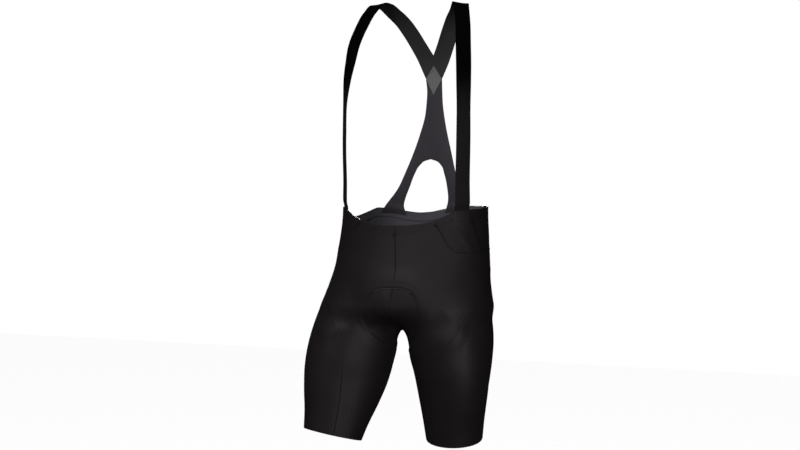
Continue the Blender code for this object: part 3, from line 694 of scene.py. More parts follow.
class Bench:
    """One material and its node tree."""

    wave_factor = 20.0

    def __init__(self, name: str) -> None:
        """Starts a material that has only its main shader."""
        self.material = bpy.data.materials.new(name)
        self.material.use_nodes = True
        self.tree = self.material.node_tree
        self.shader = self.tree.nodes["Principled BSDF"]

    def put(self, socket: Any, value: Any) -> None:
        """Gives a socket a value or a link."""
        if isinstance(value, Value):
            self.tree.links.new(value.socket, socket)
        else:
            socket.default_value = value

    def node(self, kind: str, settings: dict[str, Any], inputs: dict[Any, Any], output: Any = 0) -> Value:
        """Adds a node.

        Args:
            kind: The node's type.
            settings: Its properties, set first.
            inputs: Values or links, by socket name or number.
            output: Which of its outputs is wanted.

        Returns:
            That output.
        """
        node = self.tree.nodes.new(kind)
        for name, value in settings.items():
            setattr(node, name, value)
        for name, value in inputs.items():
            self.put(node.inputs[name], value)
        return Value(self, node.outputs[output])

    def mix(self, factor: Any, first: Any, second: Any) -> Value:
        """Mixes two colours."""
        return self.node("ShaderNodeMix", {"data_type": "RGBA"}, {0: factor, 6: first, 7: second}, 2)

    def cloth_place(self) -> Value:
        """Gives the place on the cloth, in metres across and along it."""
        return self.node("ShaderNodeUVMap", {"uv_map": UV_NAME}, {})

    def object_place(self) -> Value:
        """Gives the place in the part's frame."""
        return self.node("ShaderNodeTexCoord", {}, {}, "Object")

    def noise(self, place: Value, size: float, detail: float = 2.0) -> Value:
        """Gives soft noise with marks of about this size, in millimetres."""
        inputs = {"Vector": place, "Scale": 1 / (size * MM), "Detail": detail}
        return self.node("ShaderNodeTexNoise", {}, inputs)

    def bands(self, place: Value, direction: str, pitch: float, distortion: float = 0.0) -> Value:
        """Gives soft bands, from 0 to 1, at this pitch in millimetres."""
        settings = {"wave_type": "BANDS", "bands_direction": direction, "wave_profile": "SIN"}
        scale = 2 * math.pi / (self.wave_factor * pitch * MM)
        return self.node("ShaderNodeTexWave", settings, {"Vector": place, "Scale": scale, "Distortion": distortion})

    def wear(self, colour: Any, roughness: Any, height: Value, depth: float, **constants: float) -> Any:
        """Puts the finished values on the shader.

        Args:
            colour: Base colour.
            roughness: Roughness.
            height: Relief from 0 to 1.
            depth: Its depth in millimetres.
            **constants: Other sockets of the shader, with underscores for spaces.

        Returns:
            The material.
        """
        self.put(self.shader.inputs["Base Color"], colour)
        self.put(self.shader.inputs["Roughness"], roughness)
        bump = self.node("ShaderNodeBump", {}, {"Strength": 1.0, "Distance": depth * MM, "Height": height})
        self.put(self.shader.inputs["Normal"], bump)
        for name, value in constants.items():
            self.put(self.shader.inputs[name.replace("_", " ")], value)
        return self.material


def tint(colour: Colour, factor: float) -> Lines:
    """Makes a colour lighter or darker by a factor."""
    return (colour[0] * factor, colour[1] * factor, colour[2] * factor, 1.0)


@dataclass(frozen=True)
class Finish:
    """What every finish has: its colour, how it is mottled in patches, how it shines and how deep its relief is."""

    name: str
    colour: Colour
    patch: float = 38.0
    mottle: float = 0.10
    # Painted shade: the tint towards which the hollows of a finish's relief are darkened.
    shade: float = 0.35
    roughness: float = 0.5
    unevenness: float = 0.12
    specular: float = 0.12
    depth: float = 0.05

    def mottled(self, bench: Bench, patches: Value) -> Value:
        """Gives the colour, lighter or darker from patch to patch."""
        return bench.mix(patches, tint(self.colour, 1 - self.mottle), tint(self.colour, 1 + self.mottle))

    def finished(self, bench: Bench, colour: Value, patches: Value, height: Value) -> Any:
        """Finishes the material.

        Args:
            bench: Its nodes.
            colour: Base colour.
            patches: What makes its roughness uneven, from 0 to 1.
            height: Relief, from 0 to 1.

        Returns:
            The material.
        """
        roughness = self.roughness + self.unevenness * (patches - 0.5)
        return bench.wear(colour, roughness, height, self.depth, Specular_IOR_Level=self.specular)


@dataclass(frozen=True)
class KnitFinish(Finish):
    """A stretch knit with fine wales and courses, mottled a little, with painted shade between its loops."""

    # How far the colour darkens by random yarn tone and, as painted shade, between the loops.
    yarn: float = 0.16
    wale: float = 0.9
    course: float = 0.75
    course_share: float = 0.45
    fibre: float = 1.6
    fuzz: float = 0.6

    def dye(self) -> Any:
        """Makes the material."""
        bench = Bench(self.name)
        cloth, place = bench.cloth_place(), bench.object_place()
        wales, courses = bench.bands(cloth, "X", self.wale), bench.bands(cloth, "Y", self.course, 0.6)
        loops = wales * ((1 - self.course_share) + self.course_share * courses)
        patches, yarns = bench.noise(place, self.patch), bench.noise(cloth, self.fibre, 1.0)
        colour = self.mottled(bench, patches)
        # Painted shade where the loops sink, mixed with yarn-to-yarn tone that differs at random.
        colour = bench.mix((1 - loops) * self.yarn + yarns * self.yarn, colour, tint(self.colour, self.shade))
        return self.finished(bench, colour, patches, loops + self.fuzz * yarns)


@dataclass(frozen=True)
class BandFinish(Finish):
    """A flat woven elastic band with lengthwise ribs, with painted shade that darkens it towards its top."""

    patch: float = 22.0
    mottle: float = 0.12
    shade: float = 0.4
    roughness: float = 0.7
    unevenness: float = 0.1
    specular: float = 0.08
    depth: float = 0.07
    # Painted shade: how dark the band's top is made, and the heights between which it darkens, where less light
    # falls on the straps.
    top_share: float = 1.0
    dark_height: float = -150.0
    light_height: float = -250.0
    rib: float = 1.1
    pick: float = 0.6
    pick_share: float = 0.3
    # Strength of the painted shade in the grooves between the ribs.
    groove: float = 0.2

    def dye(self) -> Any:
        """Makes the material."""
        bench = Bench(self.name)
        cloth, place = bench.cloth_place(), bench.object_place()
        ribs, picks = bench.bands(cloth, "X", self.rib), bench.bands(cloth, "Y", self.pick)
        patches = bench.noise(place, self.patch)
        colour = self.mottled(bench, patches)
        # Painted shade: the colour darkens with height towards the top of the band, where less light falls.
        height = bench.node("ShaderNodeSeparateXYZ", {}, {"Vector": place}, "Z")
        span = {"From Min": self.light_height * MM, "From Max": self.dark_height * MM}
        step = {"interpolation_type": "SMOOTHSTEP"}
        dark = bench.node("ShaderNodeMapRange", step, {"Value": height, **span})
        colour = bench.mix(dark, colour, tint(self.colour, self.top_share))
        # Painted shade in the grooves between the ribs, scaled like the top's shade.
        colour = bench.mix((1 - ribs) * self.groove, colour, tint(self.colour, self.shade * self.top_share))
        return self.finished(bench, colour, patches, ribs * (1 - self.pick_share) + picks * self.pick_share)


@dataclass(frozen=True)
class ThreadFinish(Finish):
    """Twisted polyester thread."""

    patch: float = 0.8
    mottle: float = 0.25
    roughness: float = 0.55
    unevenness: float = 0.1
    specular: float = 0.1
    depth: float = 0.03

    def dye(self) -> Any:
        """Makes the material."""
        bench = Bench(self.name)
        fibres = bench.noise(bench.object_place(), self.patch, 1.0)
        return self.finished(bench, self.mottled(bench, fibres), fibres, fibres)


@dataclass(frozen=True)
class FoamFinish(Finish):
    """The cloth face of a foam pad, with small pressed dimples darkened by painted shade."""

    patch: float = 25.0
    shade: float = 0.45
    roughness: float = 0.8
    unevenness: float = 0.1
    specular: float = 0.2
    depth: float = 0.3
    dimple: float = 3.2

    def dye(self) -> Any:
        """Makes the material."""
        bench = Bench(self.name)
        cloth, place = bench.cloth_place(), bench.object_place()
        across, down = bench.bands(cloth, "X", self.dimple), bench.bands(cloth, "Y", self.dimple)
        dimples = (across * down) ** 2.0
        patches = bench.noise(place, self.patch)
        # Painted shade in the dimples.
        colour = bench.mix(dimples * 0.5, self.mottled(bench, patches), tint(self.colour, self.shade))
        return self.finished(bench, colour, patches, 1 - dimples)


class Finishes:
    """Every finish of the part, made once."""

    def __init__(self) -> None:
        """Dyes the cloths and threads."""
        fleece = {"yarn": 0.2, "roughness": 0.8, "specular": 0.08}
        mesh = {"wale": 1.2, "course": 1.2, "depth": 0.08, "specular": 0.08}
        # Painted shade on the straps: darker towards their tops, outside and inside.
        outer_shading = {"top_share": 0.1, "dark_height": -130, "light_height": -240, "specular": 0.0}
        inner_shading = {"top_share": 0.25, "dark_height": 20, "light_height": -75}
        self.body = KnitFinish("body_knit", (0.0115, 0.0090, 0.0099)).dye()
        self.body_inner = KnitFinish("body_knit_inner", (0.041, 0.039, 0.043), **fleece).dye()
        self.waist_inner = KnitFinish("waist_knit_inner", (0.078, 0.073, 0.086), **fleece).dye()
        self.waist = KnitFinish("waist_knit", (0.0110, 0.0088, 0.0097)).dye()
        self.yoke = KnitFinish("yoke_knit", (0.0335, 0.0298, 0.0358), **mesh).dye()
        self.strap = BandFinish("strap_cloth", (0.0130, 0.0117, 0.0124), **outer_shading).dye()
        self.strap_inner = BandFinish("strap_cloth_inner", (0.0235, 0.0235, 0.0235), **inner_shading).dye()
        self.patch = BandFinish("patch_cloth", (0.112, 0.109, 0.109), rib=0.8, pick=0.8, roughness=0.8).dye()
        self.pad = FoamFinish("pad_cloth", (0.05, 0.05, 0.056)).dye()
        self.dark_thread = ThreadFinish("dark_thread", (0.006, 0.005, 0.006)).dye()
        self.grey_thread = ThreadFinish("grey_thread", (0.11, 0.108, 0.11)).dye()


def clear_selection() -> None:
    """Deselects everything, as before a primitive is added."""
    for other in list(bpy.context.selected_objects):
        other.select_set(False)


def only(piece: Piece) -> None:
    """Makes a piece the only selected and active one."""
    clear_selection()
    piece.select_set(True)
    bpy.context.view_layer.objects.active = piece


def fresh(name: str) -> Piece:
    """Names the primitive that was just added."""
    piece = bpy.context.object
    piece.name = piece.data.name = name
    return piece


def facing_out(points: Array, normals: Array) -> Array:
    """Turns a grid's columns round if its faces would point inwards.

    Args:
        points: The grid.
        normals: Which way is outwards at its points.

    Returns:
        Column numbers in the order in which faces point outwards.
    """
    across = points[:-1, 1:] - points[:-1, :-1]
    down = points[1:, :-1] - points[:-1, :-1]
    outward = np.sum(np.cross(across, down) * normals[:-1, :-1])
    columns = np.arange(points.shape[1])
    return columns if outward > 0 else columns[::-1]


def cloth_lengths(points: Array) -> Array:
    """Measures a grid of cloth: how far across and how far down each point lies, on average, in metres."""
    across = np.linalg.norm(np.diff(points, axis=1), axis=-1).mean(axis=0)
    down = np.linalg.norm(np.diff(points, axis=0), axis=-1).mean(axis=1)
    places = (np.concatenate([[0], np.cumsum(lengths)]) for lengths in (across, down))
    return np.stack(np.meshgrid(*places), axis=-1) * MM


def grid_piece(name: str, points: Array, normals: Array) -> Piece:
    """Makes a sheet from a grid of points, with the cloth's own place as its UV map.

    Args:
        name: The piece's name.
        points: The grid, rows by columns.
        normals: Which way is outwards.

    Returns:
        The piece.
    """
    order = facing_out(points, normals)
    places = cloth_lengths(points)[:, order].reshape(-1, 2)
    points = points[:, order]
    rows, columns = points.shape[:2]
    clear_selection()
    bpy.ops.mesh.primitive_grid_add(x_subdivisions=columns - 1, y_subdivisions=rows - 1, size=1)
    piece = fresh(name)
    piece.data.vertices.foreach_set("co", (points.reshape(-1) * MM).astype(np.float32))
    weave_on(piece, places)
    piece.data.update()
    return piece


def weave_on(piece: Piece, places: Array) -> None:
    """Gives a piece its UV map.

    Args:
        piece: A mesh piece.
        places: The place of each vertex on the cloth, in metres.
    """
    mesh = piece.data
    layer = mesh.uv_layers[0] if mesh.uv_layers else mesh.uv_layers.new()
    layer.name = UV_NAME
    loops = np.empty(len(mesh.loops), np.int32)
    mesh.loops.foreach_get("vertex_index", loops)
    layer.data.foreach_set("uv", places[loops].astype(np.float32).reshape(-1))


def remake(piece: Piece, points: Array, faces: list[list[int]]) -> None:
    """Gives a piece other points, and faces that are told by the points' numbers."""
    old, mesh = piece.data, bpy.data.meshes.new(piece.name)
    mesh.from_pydata((points * MM).tolist(), [], faces)
    piece.data = mesh
    bpy.data.meshes.remove(old)
    mesh.name = piece.name


def thicken(piece: Piece, wall: float, weights: Array | None = None) -> Piece:
    """Gives a sheet its thickness inwards and smooth shading.

    Args:
        piece: The sheet.
        wall: Its greatest thickness.
        weights: The share of that thickness at each vertex, if it varies.

    Returns:
        The sheet.
    """
    only(piece)
    for _ in range(2):
        piece.data.materials.append(None)
    solid = piece.modifiers.new("wall", "SOLIDIFY")
    solid.thickness = wall * MM
    solid.offset = -1
    solid.material_offset = 1
    if weights is not None:
        group = piece.vertex_groups.new(name="hem")
        rounded = np.round(weights.reshape(-1), 2)
        for weight in np.unique(rounded):
            group.add(np.flatnonzero(rounded == weight).tolist(), float(weight), "REPLACE")
        solid.vertex_group = group.name
    bpy.ops.object.modifier_apply(modifier=solid.name)
    if weights is not None:
        piece.vertex_groups.clear()
    bpy.ops.object.shade_smooth_by_angle(angle=SMOOTH_ANGLE)
    return piece


def shell(name: str, points: Array, normals: Array, wall: float, weights: Array | None = None) -> Piece:
    """Makes a grid's sheet and gives it its thickness, less where the grid's weights are less than 1."""
    weights = None if weights is None else weights[:, facing_out(points, normals)]
    return thicken(grid_piece(name, points, normals), wall, weights)


def dress(piece: Piece, slot: str, nodes: Sequence[str], *materials: Any) -> None:
    """Puts materials on a piece and ties it to the part.

    Args:
        piece: The piece.
        slot: Not used.
        nodes: The solids it stands for.
        *materials: The finish of its outer face and, if it differs, of its inner face.
    """
    while len(piece.data.materials) < len(materials):
        piece.data.materials.append(None)
    for place, material in enumerate(materials):
        piece.data.materials[place] = material
    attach(piece, BODY)
    if nodes:
        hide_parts(*nodes)
    faces = len(piece.data.polygons)
    LOG.info("%s: %d faces, for %s", piece.name, faces, ", ".join(nodes) or "no solid")


class FineGrid:
    """A finer grid through a coarse one, on the form."""

    slack = 0.3

    def __init__(
        self, form: WornForm, coarse: Array, spacing: float, down: Sequence[Lines], across: Sequence[Lines]
    ) -> None:
        """Reads the coarse grid more finely, most finely near its borders.

        Args:
            form: The form on which it lies.
            coarse: Its points.
            spacing: How far apart the finer points are.
            down: Distances of the extra rows from the top and from the bottom.
            across: Distances of the extra columns from the first and from the last.
        """
        _, fine = self._finer(coarse, spacing, down)
        self.column_places, fine = self._finer(np.swapaxes(fine, 0, 1), spacing, across)
        self.points = form.settle(np.swapaxes(fine, 0, 1))
        self.normals = form.normal(self.points)
        across = np.linalg.norm(np.diff(self.points, axis=1), axis=-1)
        down = np.linalg.norm(np.diff(self.points, axis=0), axis=-1)
        self.from_start = np.pad(np.cumsum(across, axis=1), ((0, 0), (1, 0)))
        self.from_end = self.from_start[:, -1:] - self.from_start
        self.from_top = np.pad(np.cumsum(down, axis=0), ((1, 0), (0, 0)))
        self.from_bottom = self.from_top[-1:] - self.from_top

    def _finer(self, points: Array, spacing: float, lines: Sequence[Lines]) -> tuple[Array, Array]:
        """Adds points along the first axis.

        Args:
            points: The points.
            spacing: How far apart the new ones are.
            lines: Distances of extra ones from the start and from the end.

        Returns:
            Where each new line lies among the old ones, and the new points.
        """
        lengths = np.linalg.norm(np.diff(points, axis=0), axis=-1).mean(axis=1)
        counts = np.maximum(np.round(lengths / spacing), 1).astype(int)
        places = np.concatenate([np.linspace(k, k + 1, n, endpoint=False) for k, n in enumerate(counts)])
        done = np.concatenate([[0], np.cumsum(lengths)])
        first = np.interp(lines[0], done, np.arange(len(done)))
        last = np.interp(done[-1] - np.array(lines[1])[::-1], done, np.arange(len(done)))
        slack = self.slack * spacing / lengths.mean()
        inner = places[(places > first.max() + slack) & (places < last.min() - slack)]
        places = np.concatenate([[0], first, inner, last, [len(counts)]])
        return places, curve_through(points, places)

    def push(self, height: Array) -> None:
        """Moves the points outwards by these heights."""
        self.points = self.points + self.normals * height[..., None]


class Trace:
    """A path on the form, and how points lie beside it."""

    def __init__(self, places: Array, closed: bool = False) -> None:
        """Keeps a path's points; a closed one returns to its start."""
        self.places = np.concatenate([places, places[:1]]) if closed else places
        self.steps = np.diff(self.places, axis=0)
        self.lengths = walked(self.places)

    def beside(self, points: Array, normals: Array) -> tuple[Array, Array]:
        """Tells where points lie beside the path.

        Args:
            points: Places near the form.
            normals: Which way is outwards there.

        Returns:
            How far each lies to the path's left, and how far along it as a share of its length.
        """
        flat, up = points.reshape(-1, 3), normals.reshape(-1, 3)
        nearest, side, share = np.full(len(flat), np.inf), np.ones(len(flat)), np.zeros(len(flat))
        for start, step, done in zip(self.places, self.steps, self.lengths):
            long = np.linalg.norm(step)
            offset = flat - start
            t = np.clip(offset @ step / long**2, 0, 1)
            away = offset - t[:, None] * step
            distance = np.linalg.norm(away, axis=1)
            nearer = distance < nearest
            left = np.where(np.sum(np.cross(step, away) * up, axis=1) < 0, -1.0, 1.0)
            nearest = np.where(nearer, distance, nearest)
            side = np.where(nearer, left, side)
            share = np.where(nearer, (done + t * long) / self.lengths[-1], share)
        return (nearest * side).reshape(points.shape[:-1]), share.reshape(points.shape[:-1])


class Crease(Enum):
    """What cloth does along a fold's path."""

    RIDGE = "ridge"
    TROUGH = "trough"
    STEP = "step"


@dataclass(frozen=True)
class Fold:
    """A soft crease on one half, along a path of drops and azimuths. A step rises on the path's left."""

    kind: Crease
    size: float
    reach: float
    path: tuple[Pair, ...]
    fade: float = 0.3
    fineness: int = 6
    fall: float = 7.0

    def height(self, half: Half, points: Array, normals: Array) -> Array:
        """Gives the heights that the fold adds to a panel.

        Args:
            half: The half on which it lies.
            points: The panel's points.
            normals: Which way is outwards there.

        Returns:
            Heights.
        """
        drops, azimuths = np.array(self.path, float).T
        line = half.point(drops, azimuths)
        trace = Trace(curve_through(line, np.linspace(0, len(line) - 1, self.fineness * len(line))))
        beside, share = trace.beside(points, normals)
        ends = smooth(share, 0, self.fade) * (1 - smooth(share, 1 - self.fade, 1))
        if self.kind is Crease.STEP:
            foot = self.fall * self.reach
            slope = smooth(beside, -self.reach, self.reach) - smooth(beside, self.reach, foot)
            return self.size * ends * np.where(np.abs(beside) < foot, slope, 0)
        return self.size * ends * bell(beside, self.reach) * (-1 if self.kind is Crease.TROUGH else 1)


@dataclass(frozen=True)
class EdgeStyle:
    """The relief of a panel's sewn and turned borders."""

    roll: float = 0.6
    roll_reach: float = 1.1
    ply: float = 0.09
    ply_start: float = 0.4
    ply_reach: float = 6.0
    ply_fall: float = 2.0
    round_depth: float = 0.5
    round_reach: float = 1.2
    hem_rise: float = 0.1
    hem_rows: Lines = (14.0, 16.6)
    hem_end: float = 18.0
    hem_fall: float = 1.5
    wall_fall: float = 1.0
    row_depth: float = 0.1
    row_reach: float = 0.8
    single: float = 0.58
    sewn_lines: Lines = (0.35, 0.7, 1.1, 2.2, 3.8)
    turned_lines: Lines = (0.5, 1.2, 2.5, 6, 10, 12.6, 13.4, 14, 14.6, 15.3, 16, 16.6, 17.2, 18.2)

    def sewn(self, distance: Array) -> Array:
        """Gives heights beside a seam: the edge rolls in, and the doubled cloth beside it stands proud."""
        level = 1 - smooth(distance, self.ply_reach - self.ply_fall, self.ply_reach)
        proud = smooth(distance, self.ply_start, self.roll_reach) * level
        return self.ply * proud - self.roll * (1 - smooth(distance, 0, self.roll_reach))

    def bonded(self, distance: Array) -> Array:
        """Gives heights beside a bonded hem, which has no stitches: only its round edge."""
        return -self.round_depth * (1 - smooth(distance, 0, self.round_reach))

    def turned(self, distance: Array) -> Array:
        """Gives heights beside a turned hem: a round edge, stitched rows and the fall to a single ply."""
        rows = sum(bell(distance - row, self.row_reach) for row in self.hem_rows)
        fall = smooth(distance, self.hem_end - self.hem_fall, self.hem_end + self.hem_fall)
        return self.hem_rise * (1 - fall) - self.row_depth * rows + self.bonded(distance)

    def plies(self, distance: Array) -> Array:
        """Gives the share of the doubled wall's thickness beside a turned hem."""
        fall = smooth(distance, self.hem_end - self.wall_fall, self.hem_end + self.wall_fall)
        return self.single + (1 - self.single) * (1 - fall)


@dataclass(frozen=True)
class FlatCut:
    """The size to which a piece was cut: its rectangle and its area, in metres."""

    width: float
    length: float
    area: float

    def declare(self, piece: Piece, rests_on: Sequence[str] = ()) -> None:
        """Does nothing; the cut is only kept as numbers."""


@dataclass(frozen=True)
class StitchShape:
    """One stitch: its length, width and thickness, and how far apart stitches are."""

    long: float
    wide: float
    thick: float
    pitch: float


class Sewing:
    """Stitches of one thread, gathered run by run and joined into one piece."""

    segments, rings, digits = 6, 4, 6

    def __init__(self) -> None:
        """Starts with no stitches."""
        self.places: list[Array] = []
        self.frames: list[Array] = []

    def run(
        self, path: Array, normals: Array, shape: StitchShape, across: bool = False, lift: float = 0.1
    ) -> None:
        """Sews a run along a path.

        Args:
            path: Points of the path.
            normals: Which way is outwards there.
            shape: The stitches.
            across: Whether they lie across the path, as over a seam.
            lift: How far above the path they lie.
        """
        lengths = walked(path)
        count = max(int(lengths[-1] / shape.pitch), 1)
        at = (np.arange(count) + 0.5) * lengths[-1] / count
        up = unit(read_at(at, lengths, normals))
        ahead = square_to(up, read_at(at, lengths, np.gradient(path, axis=0)))
        side = np.cross(up, ahead)
        long, wide = (side, -ahead) if across else (ahead, side)
        self.places.append(read_at(at, lengths, path) + up * lift)
        self.frames.append(np.stack([long * shape.long, wide * shape.wide, up * shape.thick], axis=1))

    def _ordered(self, mesh: bpy.types.Mesh) -> tuple[Array, list[list[int]]]:
        """Lays the modelled stitch along its first axis and numbers it the same way in every run.

        Args:
            mesh: The stitch, along its third axis.

        Returns:
            Its points and the numbers round each face, lowest first.
        """
        base = np.round([vertex.co.zyx for vertex in mesh.vertices], self.digits) * (1, 1, -1) + 0.0
        order = np.lexsort(base.T)
        faces = [np.argsort(order)[list(face.vertices)] for face in mesh.polygons]
        return base[order], sorted(np.roll(face, -face.argmin()).tolist() for face in faces)

    def join(self, name: str, slot: str, material: Any) -> None:
        """Copies one modelled stitch to every place.

        Args:
            name: The piece's name.
            slot: The record's slot.
            material: The thread's finish.
        """
        clear_selection()
        bpy.ops.mesh.primitive_uv_sphere_add(segments=self.segments, ring_count=self.rings, radius=0.5)
        stitch = fresh(name)
        base, faces = self._ordered(stitch.data)
        places, frames = np.concatenate(self.places), np.concatenate(self.frames)
        points = places[:, None] + np.einsum("vk,nkd->nvd", base, frames)
        every = [[k * len(base) + v for v in face] for k in range(len(places)) for face in faces]
        remake(stitch, points.reshape(-1, 3), every)
        only(stitch)
        bpy.ops.object.shade_smooth()
        LOG.info("%s: %d stitches", name, len(places))
        dress(stitch, slot, (), material)


@dataclass(frozen=True)
class Workshop:
    """What every piece is made with: the finishes, the two threads and their stitches."""

    finishes: Finishes = field(default_factory=Finishes)
    dark: Sewing = field(default_factory=Sewing)
    grey: Sewing = field(default_factory=Sewing)
    ladder: StitchShape = StitchShape(3.0, 0.8, 0.35, 1.5)
    plain: StitchShape = StitchShape(2.1, 0.5, 0.4, 2.7)

    def join(self) -> None:
        """Makes the pieces of thread."""
        self.dark.join("body_stitching", "body_knit", self.finishes.dark_thread)
        self.grey.join("trim_stitching", "patch_cloth", self.finishes.grey_thread)


class PadRow(NamedTuple):
    """The pad's half width at a distance from the crotch along the rise curve."""

    along: float
    half_width: float


@dataclass(frozen=True)
class SeatPad:
    """The foam pad inside the crotch: strips run across the rise curve, crowned between sewn channels."""

    form: WornForm
    outline: tuple[PadRow, ...] = rows_of(
        PadRow,
        (-187, 20), (-184, 30), (-178, 41), (-168, 50), (-152, 57), (-130, 61), (-110, 61), (-88, 55), (-66, 48),
        (-40, 43), (-5, 45), (40, 56), (80, 68), (112, 71), (136, 59), (149, 38), (154, 10),
    )
    rows: int = 96
    steps: int = 26
    depth: float = 4.8
    wall: float = 4.6
    edge_share: float = 0.42
    end_share: float = 0.8
    rim_power: int = 3
    channels: Lines = (-0.62, -0.2, 0.2, 0.62)
    channel_reach: float = 0.045
    channel_depth: float = 0.55
    channel_ends: Pair = (0.06, 0.2)
    thinnest: float = 0.2
    sewn_part: int = 8
    press_height: float = 1.7
    press_edge: Pair = (-1.0, 2.6)
    press_fall: Pair = (8, 45)
    foam: Triple = (0.35, 9, 3)
    groove: Triple = (0.5, -1, 1.3)
    tick_rows: int = 2
    tick_lift: float = 0.5
    tick: StitchShape = StitchShape(2.2, 1.1, 0.8, 4.4)

    def strips(self, rise: Rise) -> Array:
        """Gives the grid of the pad on the form, walked sideways from the rise curve."""
        form = self.form
        places = np.linspace(self.outline[0].along, self.outline[-1].along, self.rows + 1)
        widths = along(self.outline, places)[:, :1]
        middle = form.settle(rise.at(places))
        sides = []
        for side in (-1.0, 1.0):
            points, strip = middle, [middle]
            heading = np.tile([side, 0.0, 0.0], (len(places), 1))
            for _ in range(self.steps):
                heading = square_to(form.normal(points), heading)
                ahead = form.settle(points + heading * widths / self.steps)
                heading, points = ahead - points, ahead
                strip.append(points)
            sides.append(np.stack(strip, axis=1))
        return np.concatenate([sides[0][:, :0:-1], sides[1]], axis=1)

    def border(self, strips: Array) -> Trace:
        """Gives the pad's outline on the form, with the pad on its left."""
        sides = (strips[0, 1:], strips[1:, -1], strips[-1, -2::-1], strips[-2:0:-1, 0])
        return Trace(np.concatenate(sides), True)

    def pressed(self, border: Trace, points: Array, normals: Array) -> Array:
        """Gives how the pad shows through the cloth over it.

        Args:
            border: The pad's outline.
            points: The panel's points.
            normals: Which way is outwards there.

        Returns:
            Heights: a groove and a step at the outline, and a dip where the foam thickens.
        """
        inside, _ = border.beside(points, normals)
        height = self.press_height * smooth(inside, *self.press_edge) * (1 - smooth(inside, *self.press_fall))
        for depth, place, reach in (self.foam, self.groove):
            height = height - depth * bell(inside - place, reach)
        return height

    def build(self, strips: Array, shop: Workshop) -> None:
        """Makes the pad, the stitches of its channels and the ticks that show outside at its top.

        Args:
            strips: The pad's grid on the form.
            shop: The finishes and threads.
        """
        normals = self.form.normal(strips)
        points = strips - normals * self.depth
        across = np.linspace(-1, 1, points.shape[1])[None, :]
        down = np.linspace(-1, 1, points.shape[0])[:, None]
        rim = np.maximum(np.abs(across), smooth(np.abs(down), self.end_share, 1.0)) ** self.rim_power
        crown = 1 - (1 - self.edge_share) * rim
        grooves = sum(bell(across - channel, self.channel_reach) for channel in self.channels)
        sunk = np.minimum(grooves, 1) * smooth(1 - np.abs(down), *self.channel_ends)
        share = np.clip(crown * (1 - self.channel_depth * sunk), self.thinnest, 1)
        piece = shell("crotch_pad", points, normals, self.wall, share)
        inner = points - normals * (self.wall * share[..., None])
        start = len(points) // self.sewn_part
        for channel in self.channels:
            column = int(round((channel + 1) / 2 * (points.shape[1] - 1)))
            line = (slice(start, -start), column)
            shop.grey.run(inner[line], -normals[line], shop.plain)
        ends = slice(self.tick_rows, 0, -1)
        top, up = (np.concatenate([grid[ends, 0], grid[0], grid[ends, -1][::-1]]) for grid in (strips, normals))
        shop.grey.run(top, up, self.tick, lift=self.tick_lift)
        dress(piece, "pad_foam", ("seat_pad",), shop.finishes.pad, shop.finishes.pad)


